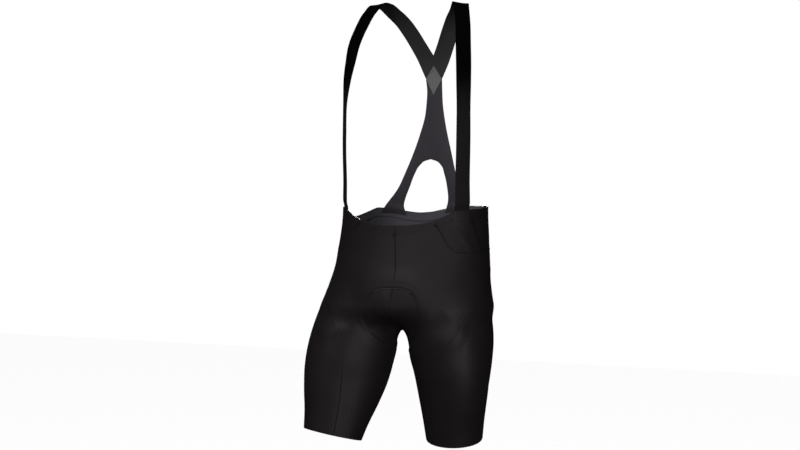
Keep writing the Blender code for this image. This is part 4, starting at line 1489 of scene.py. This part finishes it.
@dataclass(frozen=True)
class Body:
    """The shorts themselves: two front panels, two back panels and the stretch panel round the waist."""

    halves: tuple[Half, Half]
    pad: SeatPad
    border: Trace
    shop: Workshop
    edges: EdgeStyle = EdgeStyle()
    spacing: float = 2.6
    wall: float = 1.9
    past_hem: float = 99.0
    sewn_share: float = 0.9
    free_share: float = 0.5
    hem_lift: float = -0.1
    inseam_start: float = 4.0
    waist_bed: float = 0.3
    waist_lift: float = -0.15
    tab_size: float = 0.55
    tab_top: float = -14.0
    tab_drop: float = 30.0
    tab_points: int = 5
    tab_half_width: float = 15.5
    tab_soft: float = 1.2
    tab_fade: float = 0.94
    box_rows: Lines = (3.5, 28.5)
    box_inset: float = 2.0
    box_drop: float = 10.0
    box_points: int = 12
    box_lift: float = 0.85
    tack_length: float = 4.4
    tack_size: Triple = (8.0, 0.9, 0.8)
    tack_lift: float = 0.5
    front_tack: tuple[float, int] = (48.0, 7)
    side_tack: tuple[float, float, int] = (30.0, 40.6, 3)
    left_folds: tuple[Fold, ...] = rows_of(
        Fold,
        (Crease.RIDGE, 5.5, 36.0, ((201, -26), (223, -6), (231, 14), (226, 34), (206, 56)), 0.28),
        (Crease.STEP, -2.4, 6.0, ((2, 69.5), (16, 70.5), (36, 73.8), (60, 77.8), (84, 83), (110, 88))),
        (Crease.TROUGH, 1.7, 13.5, ((169, -26), (177, -6), (185, 14), (193, 34))),
        (Crease.TROUGH, 1.6, 12.0, ((6, 84), (24, 88), (44, 91), (66, 94), (92, 97)), 0.2),
        (Crease.RIDGE, 0.9, 7.0, ((40, 59.4), (56, 63.7), (70, 68), (92, 74))),
        (Crease.TROUGH, 0.8, 9.0, ((208, 62), (236, 45), (262, 34), (300, 26))),
        (Crease.RIDGE, 1.2, 16.0, ((215, 14), (250, 8), (300, 5), (350, 2))),
    )
    right_folds: tuple[Fold, ...] = rows_of(
        Fold,
        (Crease.TROUGH, 1.7, 18.7, ((162, -36), (170, -18), (178, 0), (186, 18))),
        (Crease.STEP, 0.9, 4.0, ((138, -10), (144, -7.6), (156, -6.5), (172, -11.9), (184, -17)), 0.25),
        (Crease.RIDGE, 2.5, 17.3, ((224, -36), (237, -18), (248, 0), (257, 18), (266, 40)), 0.28),
        (Crease.TROUGH, 0.9, 7.0, ((186, -34), (204, -35), (224, -44), (246, -56))),
        (Crease.TROUGH, 0.8, 9.0, ((70, 62), (100, 66), (128, 60), (150, 48))),
        (Crease.RIDGE, 1.2, 16.0, ((212, -4), (250, -14), (300, -22), (350, -30))),
    )
    shared_folds: tuple[Fold, ...] = rows_of(
        Fold,
        (Crease.TROUGH, 1.1, 9.0, ((236, 168), (250, 150), (256, 128), (252, 108))),
        (Crease.TROUGH, 0.9, 7.0, ((262, 176), (274, 150), (282, 126))),
        (Crease.RIDGE, 0.8, 10.0, ((120, 150), (160, 140), (205, 136), (240, 140))),
        (Crease.TROUGH, 0.6, 8.0, ((330, 130), (344, 110), (352, 88))),
    )
    front_cut: FlatCut = FlatCut(0.200, 0.430, 0.0610)
    back_cut: FlatCut = FlatCut(0.330, 0.420, 0.1060)
    waist_cut: FlatCut = FlatCut(0.640, 0.078, 0.0405)

    def _folded(self, half: Half, grid: FineGrid) -> Array:
        """Gives the heights of every fold of a half on a grid."""
        own = self.left_folds if half.leg.side is Side.LEFT else self.right_folds
        return sum(fold.height(half, grid.points, grid.normals) for fold in own + self.shared_folds)

    def _tab(self, half: Half, grid: FineGrid) -> Array:
        """Gives the heights of the strap's end under the waist panel's cloth."""
        drops = np.linspace(self.tab_top, self.tab_drop, self.tab_points)
        line = Trace(half.point(drops, half.leg.strap_azimuth))
        beside, share = line.beside(grid.points, grid.normals)
        side, soft = self.tab_half_width, self.tab_soft
        inside = 1 - smooth(np.abs(beside), side - soft, side + soft)
        return self.tab_size * inside * (1 - smooth(share, self.tab_fade, 1.0))

    def _panel(self, half: Half, front: bool) -> None:
        """Makes a front or back panel and sews its borders.

        Args:
            half: Its half.
            front: Whether it is the front panel.
        """
        edges, finishes = self.edges, self.shop.finishes
        coarse = half.front_panel() if front else half.back_panel()
        ends = (edges.turned_lines if front else edges.sewn_lines, edges.turned_lines)
        grid = FineGrid(half.form, coarse, self.spacing, ends, (edges.sewn_lines,) * 2)
        tip = half.cut.front_columns.index(half.cut.waist_tip)
        joined = smooth(grid.column_places, tip - 1, tip) if front else np.ones(grid.points.shape[1])
        height = edges.sewn(grid.from_start) + edges.sewn(grid.from_end) + edges.bonded(grid.from_bottom)
        height += edges.turned(grid.from_top) * (1 - joined) + edges.sewn(grid.from_top) * joined
        height += self._folded(half, grid) + self.pad.pressed(self.border, grid.points, grid.normals)
        plies = np.maximum(edges.plies(grid.from_bottom), edges.plies(grid.from_top + self.past_hem * joined))
        self._sew(half, front, grid, joined)
        grid.push(height)
        name = f"{'front' if front else 'back'}_{half.leg.side.label}"
        piece = shell(f"{name}_cloth", grid.points, grid.normals, self.wall, plies)
        dress(piece, "body_knit", (name,), finishes.body, finishes.body_inner)
        (self.front_cut if front else self.back_cut).declare(piece, ("waist_back",))

    def _sew(self, half: Half, front: bool, grid: FineGrid, joined: Array) -> None:
        """Sews a panel's own borders, each seam once.

        Args:
            half: The panel's half.
            front: Whether it is the front panel.
            grid: Its points, before the relief.
            joined: How far each column is sewn to the waist panel at the top, from 0 to 1.
        """
        shop, normals = self.shop, grid.normals
        bed = grid.points + normals * self.edges.ply
        seams = [(slice(None), -1)] if front else []
        left, inner = half.leg.side is Side.LEFT, 0 if front else -1
        if left or front:
            below = bed[:, inner, 2] < half.rise.at(0.0)[2] - self.inseam_start
            seams.append((below | left, inner))
        seams.append((0, joined > self.sewn_share))
        for seam in seams:
            shop.dark.run(bed[seam], normals[seam], shop.ladder, across=True)
        if front:
            self._hem(grid, bed, np.flatnonzero(joined < self.free_share), self.hem_lift)

    def _hem(self, grid: FineGrid, bed: Array, columns: Array, lift: float) -> None:
        """Sews the rows of a turned hem along the top of some columns.

        Args:
            grid: The panel's points.
            bed: The surface on which the stitches lie.
            columns: The columns' numbers.
            lift: How far above the bed they lie.
        """
        shop = self.shop
        for row in self.edges.hem_rows:
            at = np.argmin(np.abs(grid.from_top[:, columns] - row), axis=0)
            shop.dark.run(bed[at, columns], grid.normals[at, columns], shop.plain, lift=lift)

    def _tack(self, half: Half, drop: float, azimuth: float, count: int) -> None:
        """Sews a bar tack of a few close stitches across a seam."""
        reach = self.tack_length / 2
        places = half.point(drop + np.linspace(-reach, reach, count + 1), azimuth)
        tack = StitchShape(*self.tack_size, self.tack_length / count)
        self.shop.dark.run(places, half.form.normal(places), tack, across=True, lift=self.tack_lift)

    def _waist(self) -> None:
        """Makes the waist panel with the ends of the straps showing through it."""
        edges, finishes = self.edges, self.shop.finishes
        left, right = (half.waist_side() for half in self.halves)
        coarse = np.concatenate([left, right[:, -2::-1]], axis=1)
        ends = (edges.turned_lines, edges.sewn_lines)
        grid = FineGrid(self.pad.form, coarse, self.spacing, ends, (edges.sewn_lines,) * 2)
        height = edges.turned(grid.from_top) + edges.sewn(grid.from_bottom)
        height += edges.sewn(grid.from_start) + edges.sewn(grid.from_end)
        for half in self.halves:
            own = grid.points[..., 0] * half.leg.side.value > 0
            height += np.where(own, self._folded(half, grid) + self._tab(half, grid), 0)
        bed = grid.points + grid.normals * self.waist_bed
        self._hem(grid, bed, np.arange(bed.shape[1]), self.waist_lift)
        grid.push(height)
        piece = shell("waist_cloth", grid.points, grid.normals, self.wall, edges.plies(grid.from_top))
        dress(piece, "waist_knit", ("waist_back",), finishes.waist, finishes.waist_inner)
        self.waist_cut.declare(piece, ("strap_left", "strap_right", "yoke"))

    def _strap_ends(self) -> None:
        """Sews the ends of the straps to the waist panel: a box of stitches under each."""
        shop = self.shop
        for half in self.halves:
            azimuth = half.leg.strap_azimuth
            reach = float(half.degrees(self.box_drop, azimuth, self.tab_half_width - self.box_inset))
            azimuths = np.linspace(azimuth - reach, azimuth + reach, self.box_points)
            for drop in self.box_rows:
                places = half.point(half.upper_edge(azimuths) + drop, azimuths)
                shop.dark.run(places, half.form.normal(places), shop.plain, lift=self.box_lift)

    def build(self) -> None:
        """Makes every panel, then the tacks at the ends of the front's top hem and below its middle."""
        for half in self.halves:
            self._panel(half, True)
            self._panel(half, False)
        self._waist()
        self._strap_ends()
        left, (drop, count) = self.halves[0], self.front_tack
        self._tack(left, drop, float(left.centre_front(drop)), count)
        for half in self.halves:
            self._tack(half, *self.side_tack)


class StrapRow(NamedTuple):
    """The left strap's middle, how its width is turned in plan and dips outwards, and its width."""

    x: float
    y: float
    z: float
    turn: float
    dip: float
    width: float


@dataclass(frozen=True)
class StrapLine:
    """The way of the left strap from the waist panel over the shoulder to the patch."""

    top: int = 9
    rows: tuple[StrapRow, ...] = rows_of(
        StrapRow,
        (125.5, -79, -408, 53, 0, 32), (126.3, -81, -340, 54, 0, 32), (127.0, -82, -265, 54, 0, 32),
        (127.0, -81.5, -195, 51, 0, 31), (124.2, -76, -152, 36, 0, 30), (120.8, -68, -120, 25, 0, 30),
        (117.0, -60, -88, 16, 2, 30), (109.0, -41.5, -50, 9, 5, 30), (98.6, -21, -18.5, 3, 8, 30),
        (89.3, -3, -3.0, 0, 9.5, 31.5), (79.8, 16, -6.4, 0, 8, 33), (69.2, 33, -20, 0, 5, 34.5),
        (55.0, 47, -37.5, 0, 0, 35), (42.0, 58.5, -59.5, 0, 0, 35), (25.8, 71, -92, 0, 0, 35),
        (15.6, 76.5, -113, 0, 0, 36), (2.0, 78, -141, 0, 0, 37), (-14.0, 78, -171, 0, 0, 37),
    )


@dataclass(frozen=True)
class BackSurface:
    """The surface behind the shoulders on which the straps' ends, the patch and the yoke lie."""

    trunk: Trunk
    line: StrapLine
    patch_top: float = -125.0
    patch_middle: float = -152.0
    patch_bottom: float = -184.0
    patch_half_width: float = 17.5
    top_y: float = 78.0

    def depth(self, x: Array, z: Array) -> Array:
        """Gives how far back the surface lies.

        Args:
            x: Sideways places.
            z: Heights.

        Returns:
            Depths: along the straps above the patch, and taut down to the waist below it.
        """
        rows = np.array(self.line.rows[self.line.top :], float)[::-1]
        trunk = self.trunk
        half_width, _, back, middle_x, middle_y = trunk.at(trunk.waist_height - z)
        inside = 1 - np.abs((x - middle_x) / half_width) ** trunk.squareness
        waist = middle_y + back * np.maximum(inside, 0) ** (1 / trunk.squareness)
        share = np.clip((z - trunk.waist_height) / (self.patch_middle - trunk.waist_height), 0, 1)
        taut = waist * (1 - share) + self.top_y * share
        return np.where(z < self.patch_middle, taut, np.interp(z, rows[:, 2], rows[:, 1]))

    def at(self, x: Any, z: Any) -> tuple[Array, Array]:
        """Gives places on the surface and its normals there.

        Args:
            x: Sideways places.
            z: Heights.

        Returns:
            Points and unit vectors.
        """
        x, z = np.broadcast_arrays(np.asarray(x, float), np.asarray(z, float))
        step = 0.5
        across = (self.depth(x + step, z) - self.depth(x - step, z)) / (2 * step)
        up = (self.depth(x, z + step) - self.depth(x, z - step)) / (2 * step)
        return np.stack([x, self.depth(x, z), z], axis=-1), unit(np.stack([-across, np.ones_like(x), -up], axis=-1))


@dataclass(frozen=True)
class StrapPair:
    """The two flat elastic straps, each from the waist over a shoulder to the patch."""

    surface: BackSurface
    halves: tuple[Half, Half]
    shop: Workshop
    foot_reach: float = 260.0
    foot_rows: Lines = (3.0, 6.0)
    foot_lift: float = 0.05
    edge_gap: float = 0.6
    tuck: float = 26.0
    tuck_end: float = 2.0
    tuck_rows: int = 10
    tuck_depth: float = 2.2
    tuck_reach: float = 14.0
    wall: float = 1.15
    rows: int = 290
    columns: int = 14
    free_start: Pair = (10.0, 60.0)
    free_end: Pair = (110.0, 60.0)
    curl: float = 0.7
    curl_power: int = 4
    bow: float = 0.5
    bow_length: float = 170.0
    edge_ply: float = 0.22
    edge_width: float = 3.2
    edge_fall: float = 0.8
    flat_cut: FlatCut = FlatCut(0.034, 0.520, 0.0168)

    def band(self, half: Half) -> tuple[Array, Array, Array]:
        """Lays out the band of one side.

        Args:
            half: The half of the body to which it is sewn.

        Returns:
            Its points, the normals of its outer face and its distances from the foot.
        """
        line = np.array(self.surface.line.rows, float)
        lengths = walked(line[:, :3])
        places = np.linspace(0, lengths[-1], self.rows + 1)
        x, y, z, turn, dip, width = np.moveaxis(along(np.column_stack([lengths, line]), places), -1, 0)
        centre = np.stack([x, y, z], axis=1)
        ahead = unit(np.gradient(centre, axis=0))
        turn, dip = np.radians(turn), np.radians(dip)
        across = np.stack([np.cos(turn) * np.cos(dip), np.sin(turn) * np.cos(dip), -np.sin(dip)], axis=1)
        across = square_to(ahead, across)
        shares = np.sin(np.linspace(-math.pi / 2, math.pi / 2, self.columns + 1)) / 2
        points = centre[:, None] + across[:, None] * shares[:, None] * width[:, None, None]
        normals = np.broadcast_to(np.cross(across, ahead)[:, None], points.shape)
        points, normals = points * half.leg.side.mirror, normals * half.leg.side.mirror
        azimuths = half.leg.strap_azimuth + half.degrees(0, half.leg.strap_azimuth, width[0]) * shares
        foot = half.point(half.upper_edge(azimuths) - self.edge_gap, azimuths)
        near = 1 - smooth(places, 0, self.foot_reach)
        points = points + near[:, None, None] * (foot - points[0])
        inward = self._relief(places, shares, width)
        inward = inward + self.tuck_depth * (1 - smooth(places, 0, self.tuck_reach))[:, None]
        points = points - normals * inward[..., None]
        under = np.linspace(self.tuck, self.tuck_end, self.tuck_rows)
        hidden = half.point(under[:, None] + half.upper_edge(azimuths), azimuths)
        out = half.form.normal(hidden)
        hidden = hidden - out * self.tuck_depth
        return tuple(np.concatenate(pair) for pair in ((hidden, points), (out, normals), (-under, places)))

    def _relief(self, places: Array, shares: Array, width: Array) -> Array:
        """Gives how far the band sinks: its edges curl in, it bows a little, and its woven edges stand up."""
        last, (start, full) = places[-1], self.free_end
        free = smooth(places, *self.free_start) * (1 - smooth(places, last - start, last - full))
        curl = self.curl * (2 * shares) ** self.curl_power * free[:, None]
        bow = self.bow * np.sin(2 * math.pi * places / self.bow_length) * free
        from_edge = (0.5 - np.abs(shares)) * width[:, None]
        woven = 1 - smooth(from_edge, self.edge_width - self.edge_fall, self.edge_width)
        return curl + bow[:, None] - self.edge_ply * woven

    def _trim(self, piece: Piece, mirror: Array) -> None:
        """Cuts a band behind, at the middle and along the patch.

        Args:
            piece: The band, before it has a wall.
            mirror: The side's signs.
        """
        surface = self.surface
        slope = unit(np.array([surface.patch_middle - surface.patch_top, 0.0, -surface.patch_half_width]))
        cuts = ((np.zeros(3), np.array([-1.0, 0, 0])), (np.array([0, 0, surface.patch_top]), slope))
        mesh = bmesh.new()
        mesh.from_mesh(piece.data)
        for place, away in cuts:
            behind = [face for face in mesh.faces if face.calc_center_median().y > 0]
            edges = list(dict.fromkeys(side for face in behind for side in face.edges))
            verts = list(dict.fromkeys(vert for side in edges for vert in side.verts))
            plane = {"plane_co": place * mirror * MM, "plane_no": away * mirror}
            bmesh.ops.bisect_plane(mesh, geom=behind + edges + verts, clear_outer=True, **plane)
        mesh.to_mesh(piece.data)
        mesh.free()

    def build(self) -> None:
        """Makes both straps and sews their feet."""
        shop = self.shop
        for half in self.halves:
            side = half.leg.side
            points, normals, places = self.band(half)
            piece = grid_piece(f"strap_{side.label}_band", points, normals)
            self._trim(piece, side.mirror)
            thicken(piece, self.wall)
            for row in np.searchsorted(places, self.foot_rows):
                shop.dark.run(points[row], normals[row], shop.plain, lift=self.foot_lift)
            finishes = shop.finishes
            dress(piece, "strap_cloth", (f"strap_{side.label}",), finishes.strap, finishes.strap_inner)
            self.flat_cut.declare(piece)


@dataclass(frozen=True)
class CrossPatch:
    """The diamond where straps and yoke meet, bordered with stitches."""

    surface: BackSurface
    shop: Workshop
    wall: float = 1.0
    steps: int = 30
    crown: float = 0.5
    crown_reach: float = 0.2
    border: float = 0.1
    groove: float = 0.3
    groove_reach: float = 0.025
    sink: float = 0.2
    lift: float = 0.05
    flat_cut: FlatCut = FlatCut(0.034, 0.058, 0.00098)

    def build(self) -> None:
        """Makes the patch and sews its border outside and inside."""
        surface, shop = self.surface, self.shop
        shares = np.linspace(0, 1, self.steps + 1)
        left, right = np.meshgrid(shares, shares)
        upper = surface.patch_top + (surface.patch_middle - surface.patch_top) * np.minimum(left + right, 1)
        lower = (surface.patch_bottom - surface.patch_middle) * np.maximum(left + right - 1, 0)
        points, normals = surface.at((left - right) * surface.patch_half_width, upper + lower)
        rim = np.minimum(np.minimum(left, 1 - left), np.minimum(right, 1 - right))
        height = self.crown * smooth(rim, 0, self.crown_reach)
        height = height - self.groove * bell(rim - self.border, self.groove_reach) - self.sink
        points = points + normals * height[..., None]
        piece = shell("cross_patch_cloth", points, normals, self.wall)
        near = int(self.border * self.steps)
        far = self.steps - near
        inner = slice(near, far + 1)
        for side in ((near, inner), (far, inner), (inner, near), (inner, far)):
            inside = points[side] - normals[side] * (self.wall + self.lift)
            shop.grey.run(points[side], normals[side], shop.plain, lift=self.lift)
            shop.grey.run(inside, -normals[side], shop.plain, lift=self.lift)
        dress(piece, "patch_cloth", ("cross_patch",), shop.finishes.patch, shop.finishes.patch)
        self.flat_cut.declare(piece, ("strap_left", "strap_right"))


class YokeRow(NamedTuple):
    """The sideways places of an outline's left and right side at a height."""

    z: float
    left: float
    right: float


@dataclass(frozen=True)
class Yoke:
    """The A-shaped mesh piece behind: a stem under the patch over two legs round a keyhole."""

    surface: BackSurface
    halves: tuple[Half, Half]
    shop: Workshop
    edge_gap: float = 0.6
    wall: float = 0.9
    half_columns: int = 12
    stem_rows: int = 44
    leg_rows: int = 44
    foot_rows: int = 8
    tuck: float = 9.0
    tuck_rows: int = 4
    tuck_depth: float = 2.2
    tuck_reach: float = 12.0
    stem_levels: Pair = (-190.0, -297.0)
    keyhole_levels: Pair = (-316.0, -392.0)
    v_rounds: int = 6
    hem_height: float = 0.3
    hem_width: float = 5.0
    hem_fall: float = 1.5
    leg_power: float = 1.8
    edge_azimuths: Pair = (100.0, 180.0)
    edge_points: int = 81
    seam_inset: float = 2.4
    outline: tuple[YokeRow, ...] = rows_of(
        YokeRow,
        (-422, 85, -102.5), (-410, 78, -95.5), (-399, 72, -88), (-380, 64, -75), (-339, 51.3, -56.3),
        (-299, 41, -40.2), (-265, 32, -28.5), (-227, 24, -18), (-204, 20.5, -15.5), (-175, 18.5, -14.5),
        (-152, 17.5, -17.5),
    )
    keyhole: tuple[YokeRow, ...] = rows_of(
        YokeRow,
        (-426, 29, -54), (-411, 34.5, -59), (-396, 36.5, -56.5), (-371, 33.5, -47.7), (-345, 26.8, -38),
        (-326, 18, -26), (-318.5, 8, -16), (-315, -4, -4),
    )
    flat_cut: FlatCut = FlatCut(0.165, 0.235, 0.0126)

    def _stem_place(self, columns: Array, z: Array) -> Array:
        """Gives where the stem's columns lie sideways at these heights."""
        left, right = np.moveaxis(along(self.outline, z), -1, 0)
        middle = self.keyhole[-1].left * (1 - smooth(z, self.stem_levels[1], self.stem_levels[0]))
        return middle + np.where(columns > 0, left - middle, middle - right) * columns

    def _stem(self, columns: Array) -> tuple[Array, Array]:
        """Lays out the stem's rows.

        Args:
            columns: Places from side to side, from -1 to 1.

        Returns:
            Sideways places and heights, from the V cut under the patch to the keyhole's top.
        """
        surface = self.surface
        middle, depth = surface.patch_middle, surface.patch_middle - surface.patch_bottom
        cut = np.full(columns.shape, middle)
        for _ in range(self.v_rounds):
            inside = 1 - np.abs(self._stem_place(columns, cut)) / surface.patch_half_width
            cut = middle - inside * depth
        share = np.linspace(0, 1, self.stem_rows + 1)[:, None]
        z = cut * (1 - share) + self.keyhole[-1].z * share
        return self._stem_place(columns, z), z

    def _leg(self, side: int, shares: Array) -> tuple[Array, Array]:
        """Lays out a leg's rows.

        Args:
            side: 0 for the left leg and 1 for the right one.
            shares: Places from the keyhole to the outer side.

        Returns:
            Sideways places and heights, from the keyhole's top to the waist panel's edge.
        """
        top, bottom = self.keyhole_levels
        levels = top + (bottom - top) * np.linspace(0, 1, self.leg_rows + 1) ** self.leg_power
        z = np.repeat(levels[:, None], len(shares), axis=1)
        inner, outer = along(self.keyhole, self.keyhole[1].z)[side], along(self.outline, self.outline[1].z)[side]
        foot = self._edge_height(inner * (1 - shares) + outer * shares) + self.edge_gap
        lower = np.linspace(0, 1, self.foot_rows + 1)[1:, None]
        tucked = foot - self.edge_gap - np.linspace(1, self.tuck, self.tuck_rows)[:, None]
        z = np.concatenate([z, bottom * (1 - lower) + foot * lower, tucked])
        inner, outer = along(self.keyhole, z)[..., side], along(self.outline, z)[..., side]
        return inner * (1 - shares) + outer * shares, z

    def _edge_height(self, x: Array) -> Array:
        """Gives the height of the waist panel's edge behind."""
        heights = np.zeros_like(x)
        azimuths = np.linspace(*self.edge_azimuths, self.edge_points)
        for half in self.halves:
            edge = half.point(half.upper_edge(azimuths), azimuths)
            order = np.argsort(edge[:, 0])
            height = np.interp(x, edge[order, 0], edge[order, 2])
            heights = np.where(x * half.leg.side.value >= 0, height, heights)
        return heights

    def _layout(self) -> tuple[Array, Array, list[list[int]], Array]:
        """Lays out the whole piece.

        Returns:
            Every point's sideways place and height, the faces between them and the points of the top row.
        """
        middle = self.half_columns
        stem_x, stem_z = self._stem(np.sin(np.linspace(-math.pi / 2, math.pi / 2, 2 * middle + 1)))
        xs, zs, numbers = [stem_x.reshape(-1)], [stem_z.reshape(-1)], np.arange(stem_x.size).reshape(stem_x.shape)
        faces, count = self._quads(numbers), stem_x.size
        shares = (1 - np.cos(np.linspace(0, math.pi, middle + 1))) / 2
        for side, apex in enumerate((numbers[-1, middle:], numbers[-1, middle::-1])):
            leg_x, leg_z = self._leg(side, shares)
            xs.append(leg_x.reshape(-1))
            zs.append(leg_z.reshape(-1))
            quads = self._quads(np.concatenate([apex[None], count + np.arange(leg_x.size).reshape(leg_x.shape)]))
            faces += [quad[::-1] for quad in quads] if side else quads
            count += leg_x.size
        return np.concatenate(xs), np.concatenate(zs), faces, numbers[0]

    def build(self) -> None:
        """Makes the yoke and sews its top outside and inside."""
        shop = self.shop
        x, z, faces, first = self._layout()
        points, normals = self.surface.at(x, z)
        edge = self._edge_height(x)
        points = points - normals * (self.tuck_depth * (1 - smooth(z, edge, edge + self.tuck_reach)))[:, None]
        clear_selection()
        bpy.ops.mesh.primitive_plane_add(size=MM)
        piece = fresh("yoke_cloth")
        remake(piece, self._raised(points, normals, faces), faces)
        weave_on(piece, points[:, [0, 2]] * MM)
        thicken(piece, self.wall)
        top, up = self.surface.at(x[first], z[first] - self.seam_inset)
        shop.dark.run(top, up, shop.plain)
        shop.dark.run(top - up * self.wall, -up, shop.plain)
        dress(piece, "yoke_knit", ("yoke",), shop.finishes.yoke, shop.finishes.yoke)
        self.flat_cut.declare(piece, ("cross_patch",))

    def _quads(self, numbers: Array) -> list[list[int]]:
        """Gives the faces of a grid of numbered points."""
        corners = [numbers[:-1, :-1], numbers[:-1, 1:], numbers[1:, 1:], numbers[1:, :-1]]
        return np.stack(corners, axis=-1).reshape(-1, 4).tolist()

    def _raised(self, points: Array, normals: Array, faces: list[list[int]]) -> Array:
        """Raises a narrow turned edge all round.

        Args:
            points: The sheet's points.
            normals: Which way is outwards there.
            faces: The faces between them.

        Returns:
            The raised points.
        """
        sides = np.sort(np.stack([faces, np.roll(faces, -1, axis=1)], axis=-1).reshape(-1, 2), axis=1)
        pairs, times = np.unique(sides, axis=0, return_counts=True)
        middles = points[pairs[times == 1]].mean(axis=1)
        distance = np.min(np.linalg.norm(points[:, None] - middles, axis=-1), axis=1)
        height = self.hem_height * (1 - smooth(distance, self.hem_width - self.hem_fall, self.hem_width))
        return points + normals * height[:, None]


class Lamp(NamedTuple):
    """A soft light: its place round the part in degrees and its power in watts."""

    name: str
    azimuth: float
    elevation: float
    power: float


@dataclass(frozen=True)
class Studio:
    """The pale floor, the plain light round the camera and the camera itself."""

    target: Triple = (0.0, -0.018, -0.444)
    azimuth: float = 22.5
    elevation: float = 3.6
    distance: float = 3.9
    lens: float = 87.75
    shift: float = -0.02
    floor_height: float = -2.4
    floor_size: float = 24.0
    lamp_size: float = 1.1
    lamp_distance: float = 3.5
    lamps: tuple[Lamp, ...] = rows_of(
        Lamp,
        ("key_light", -10, 30, 68), ("top_light", -10, 60, 60), ("side_light", 45, -13, 62),
        ("back_light", 205, 12, 170),
    )
    ambient: float = 0.02
    floor_tones: Pair = (0.80, 0.84)
    floor_grain: float = 60.0
    floor_glow: float = 1.15
    floor_roughness: float = 0.8
    floor_relief: float = 0.2

    def _place(self, azimuth: float, elevation: float, distance: float) -> Vector:
        """Gives a place round the target."""
        turn, rise = math.radians(azimuth), math.radians(elevation)
        level = distance * math.cos(rise)
        offset = (level * math.sin(turn), -level * math.cos(turn), distance * math.sin(rise))
        return Vector(self.target) + Vector(offset)

    def _aim(self, item: Piece, place: Vector) -> None:
        """Puts something at a place and turns it to the target."""
        item.location = place
        item.rotation_euler = (Vector(self.target) - place).to_track_quat("-Z", "Y").to_euler()

    def _softbox(self, lamp: Lamp) -> None:
        """Adds a square light."""
        light = bpy.data.lights.new(lamp.name, "AREA")
        light.energy, light.size = lamp.power, self.lamp_size
        box = bpy.data.objects.new(lamp.name, light)
        bpy.context.scene.collection.objects.link(box)
        self._aim(box, self._place(lamp.azimuth, lamp.elevation, self.lamp_distance))

    def _floor(self) -> None:
        """Lays the pale floor."""
        clear_selection()
        bpy.ops.mesh.primitive_plane_add(size=self.floor_size, location=(0, 0, self.floor_height))
        floor = fresh("studio_floor")
        bench = Bench("pale_floor")
        grain = bench.noise(bench.object_place(), self.floor_grain)
        colour = bench.mix(grain, *(tint((tone,) * 3, 1.0) for tone in self.floor_tones))
        bench.put(bench.shader.inputs["Emission Color"], colour)
        glow = {"Emission_Strength": self.floor_glow}
        floor.data.materials.append(bench.wear(colour, self.floor_roughness, grain, self.floor_relief, **glow))
        floor.visible_diffuse = floor.visible_glossy = False

    def _world(self) -> None:
        """Sets a white backdrop for the camera and dimmer light for the cloth."""
        world = bpy.data.worlds.new("studio")
        bpy.context.scene.world = world
        world.use_nodes = True
        tree = world.node_tree
        backdrop, room = tree.nodes["Background"], tree.nodes.new("ShaderNodeBackground")
        backdrop.inputs["Color"].default_value = room.inputs["Color"].default_value = (1, 1, 1, 1)
        room.inputs["Strength"].default_value = self.ambient
        path, mix = tree.nodes.new("ShaderNodeLightPath"), tree.nodes.new("ShaderNodeMixShader")
        tree.links.new(path.outputs["Is Camera Ray"], mix.inputs["Fac"])
        tree.links.new(room.outputs["Background"], mix.inputs[1])
        tree.links.new(backdrop.outputs["Background"], mix.inputs[2])
        tree.links.new(mix.outputs["Shader"], tree.nodes["World Output"].inputs["Surface"])

    def build(self) -> None:
        """Sets up the camera, the lights, the floor and the backdrop."""
        view = bpy.data.cameras.new("camera")
        view.lens, view.shift_x = self.lens, self.shift
        camera = bpy.data.objects.new("camera", view)
        bpy.context.scene.collection.objects.link(camera)
        self._aim(camera, self._place(self.azimuth, self.elevation, self.distance))
        bpy.context.scene.camera = camera
        for lamp in self.lamps:
            self._softbox(lamp)
        self._floor()
        self._world()
        bpy.context.scene.view_settings.view_transform = "Standard"
        LOG.info("studio: camera, lights, floor and backdrop")


def corners(bounds: Sequence[Any]) -> list[list[float]]:
    """Turns a box into plain lists."""
    return [[float(number) for number in corner] for corner in bounds]


def main() -> None:
    """Builds the studio and every piece."""
    logging.basicConfig(level=logging.INFO, format="%(name)s: %(message)s")
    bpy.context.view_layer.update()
    Studio().build()
    shop, form, cut = Workshop(), WornForm(), Cut()
    rise = Rise(form)
    halves = (Half(form, rise, cut, form.left), Half(form, rise, cut, form.right))
    pad = SeatPad(form)
    strips = pad.strips(rise)
    Body(halves, pad, pad.border(strips), shop).build()
    pad.build(strips, shop)
    surface = BackSurface(form.trunk, StrapLine())
    StrapPair(surface, halves, shop).build()
    CrossPatch(surface, shop).build()
    Yoke(surface, halves, shop).build()
    shop.join()


if __name__ == "__main__":
    main()
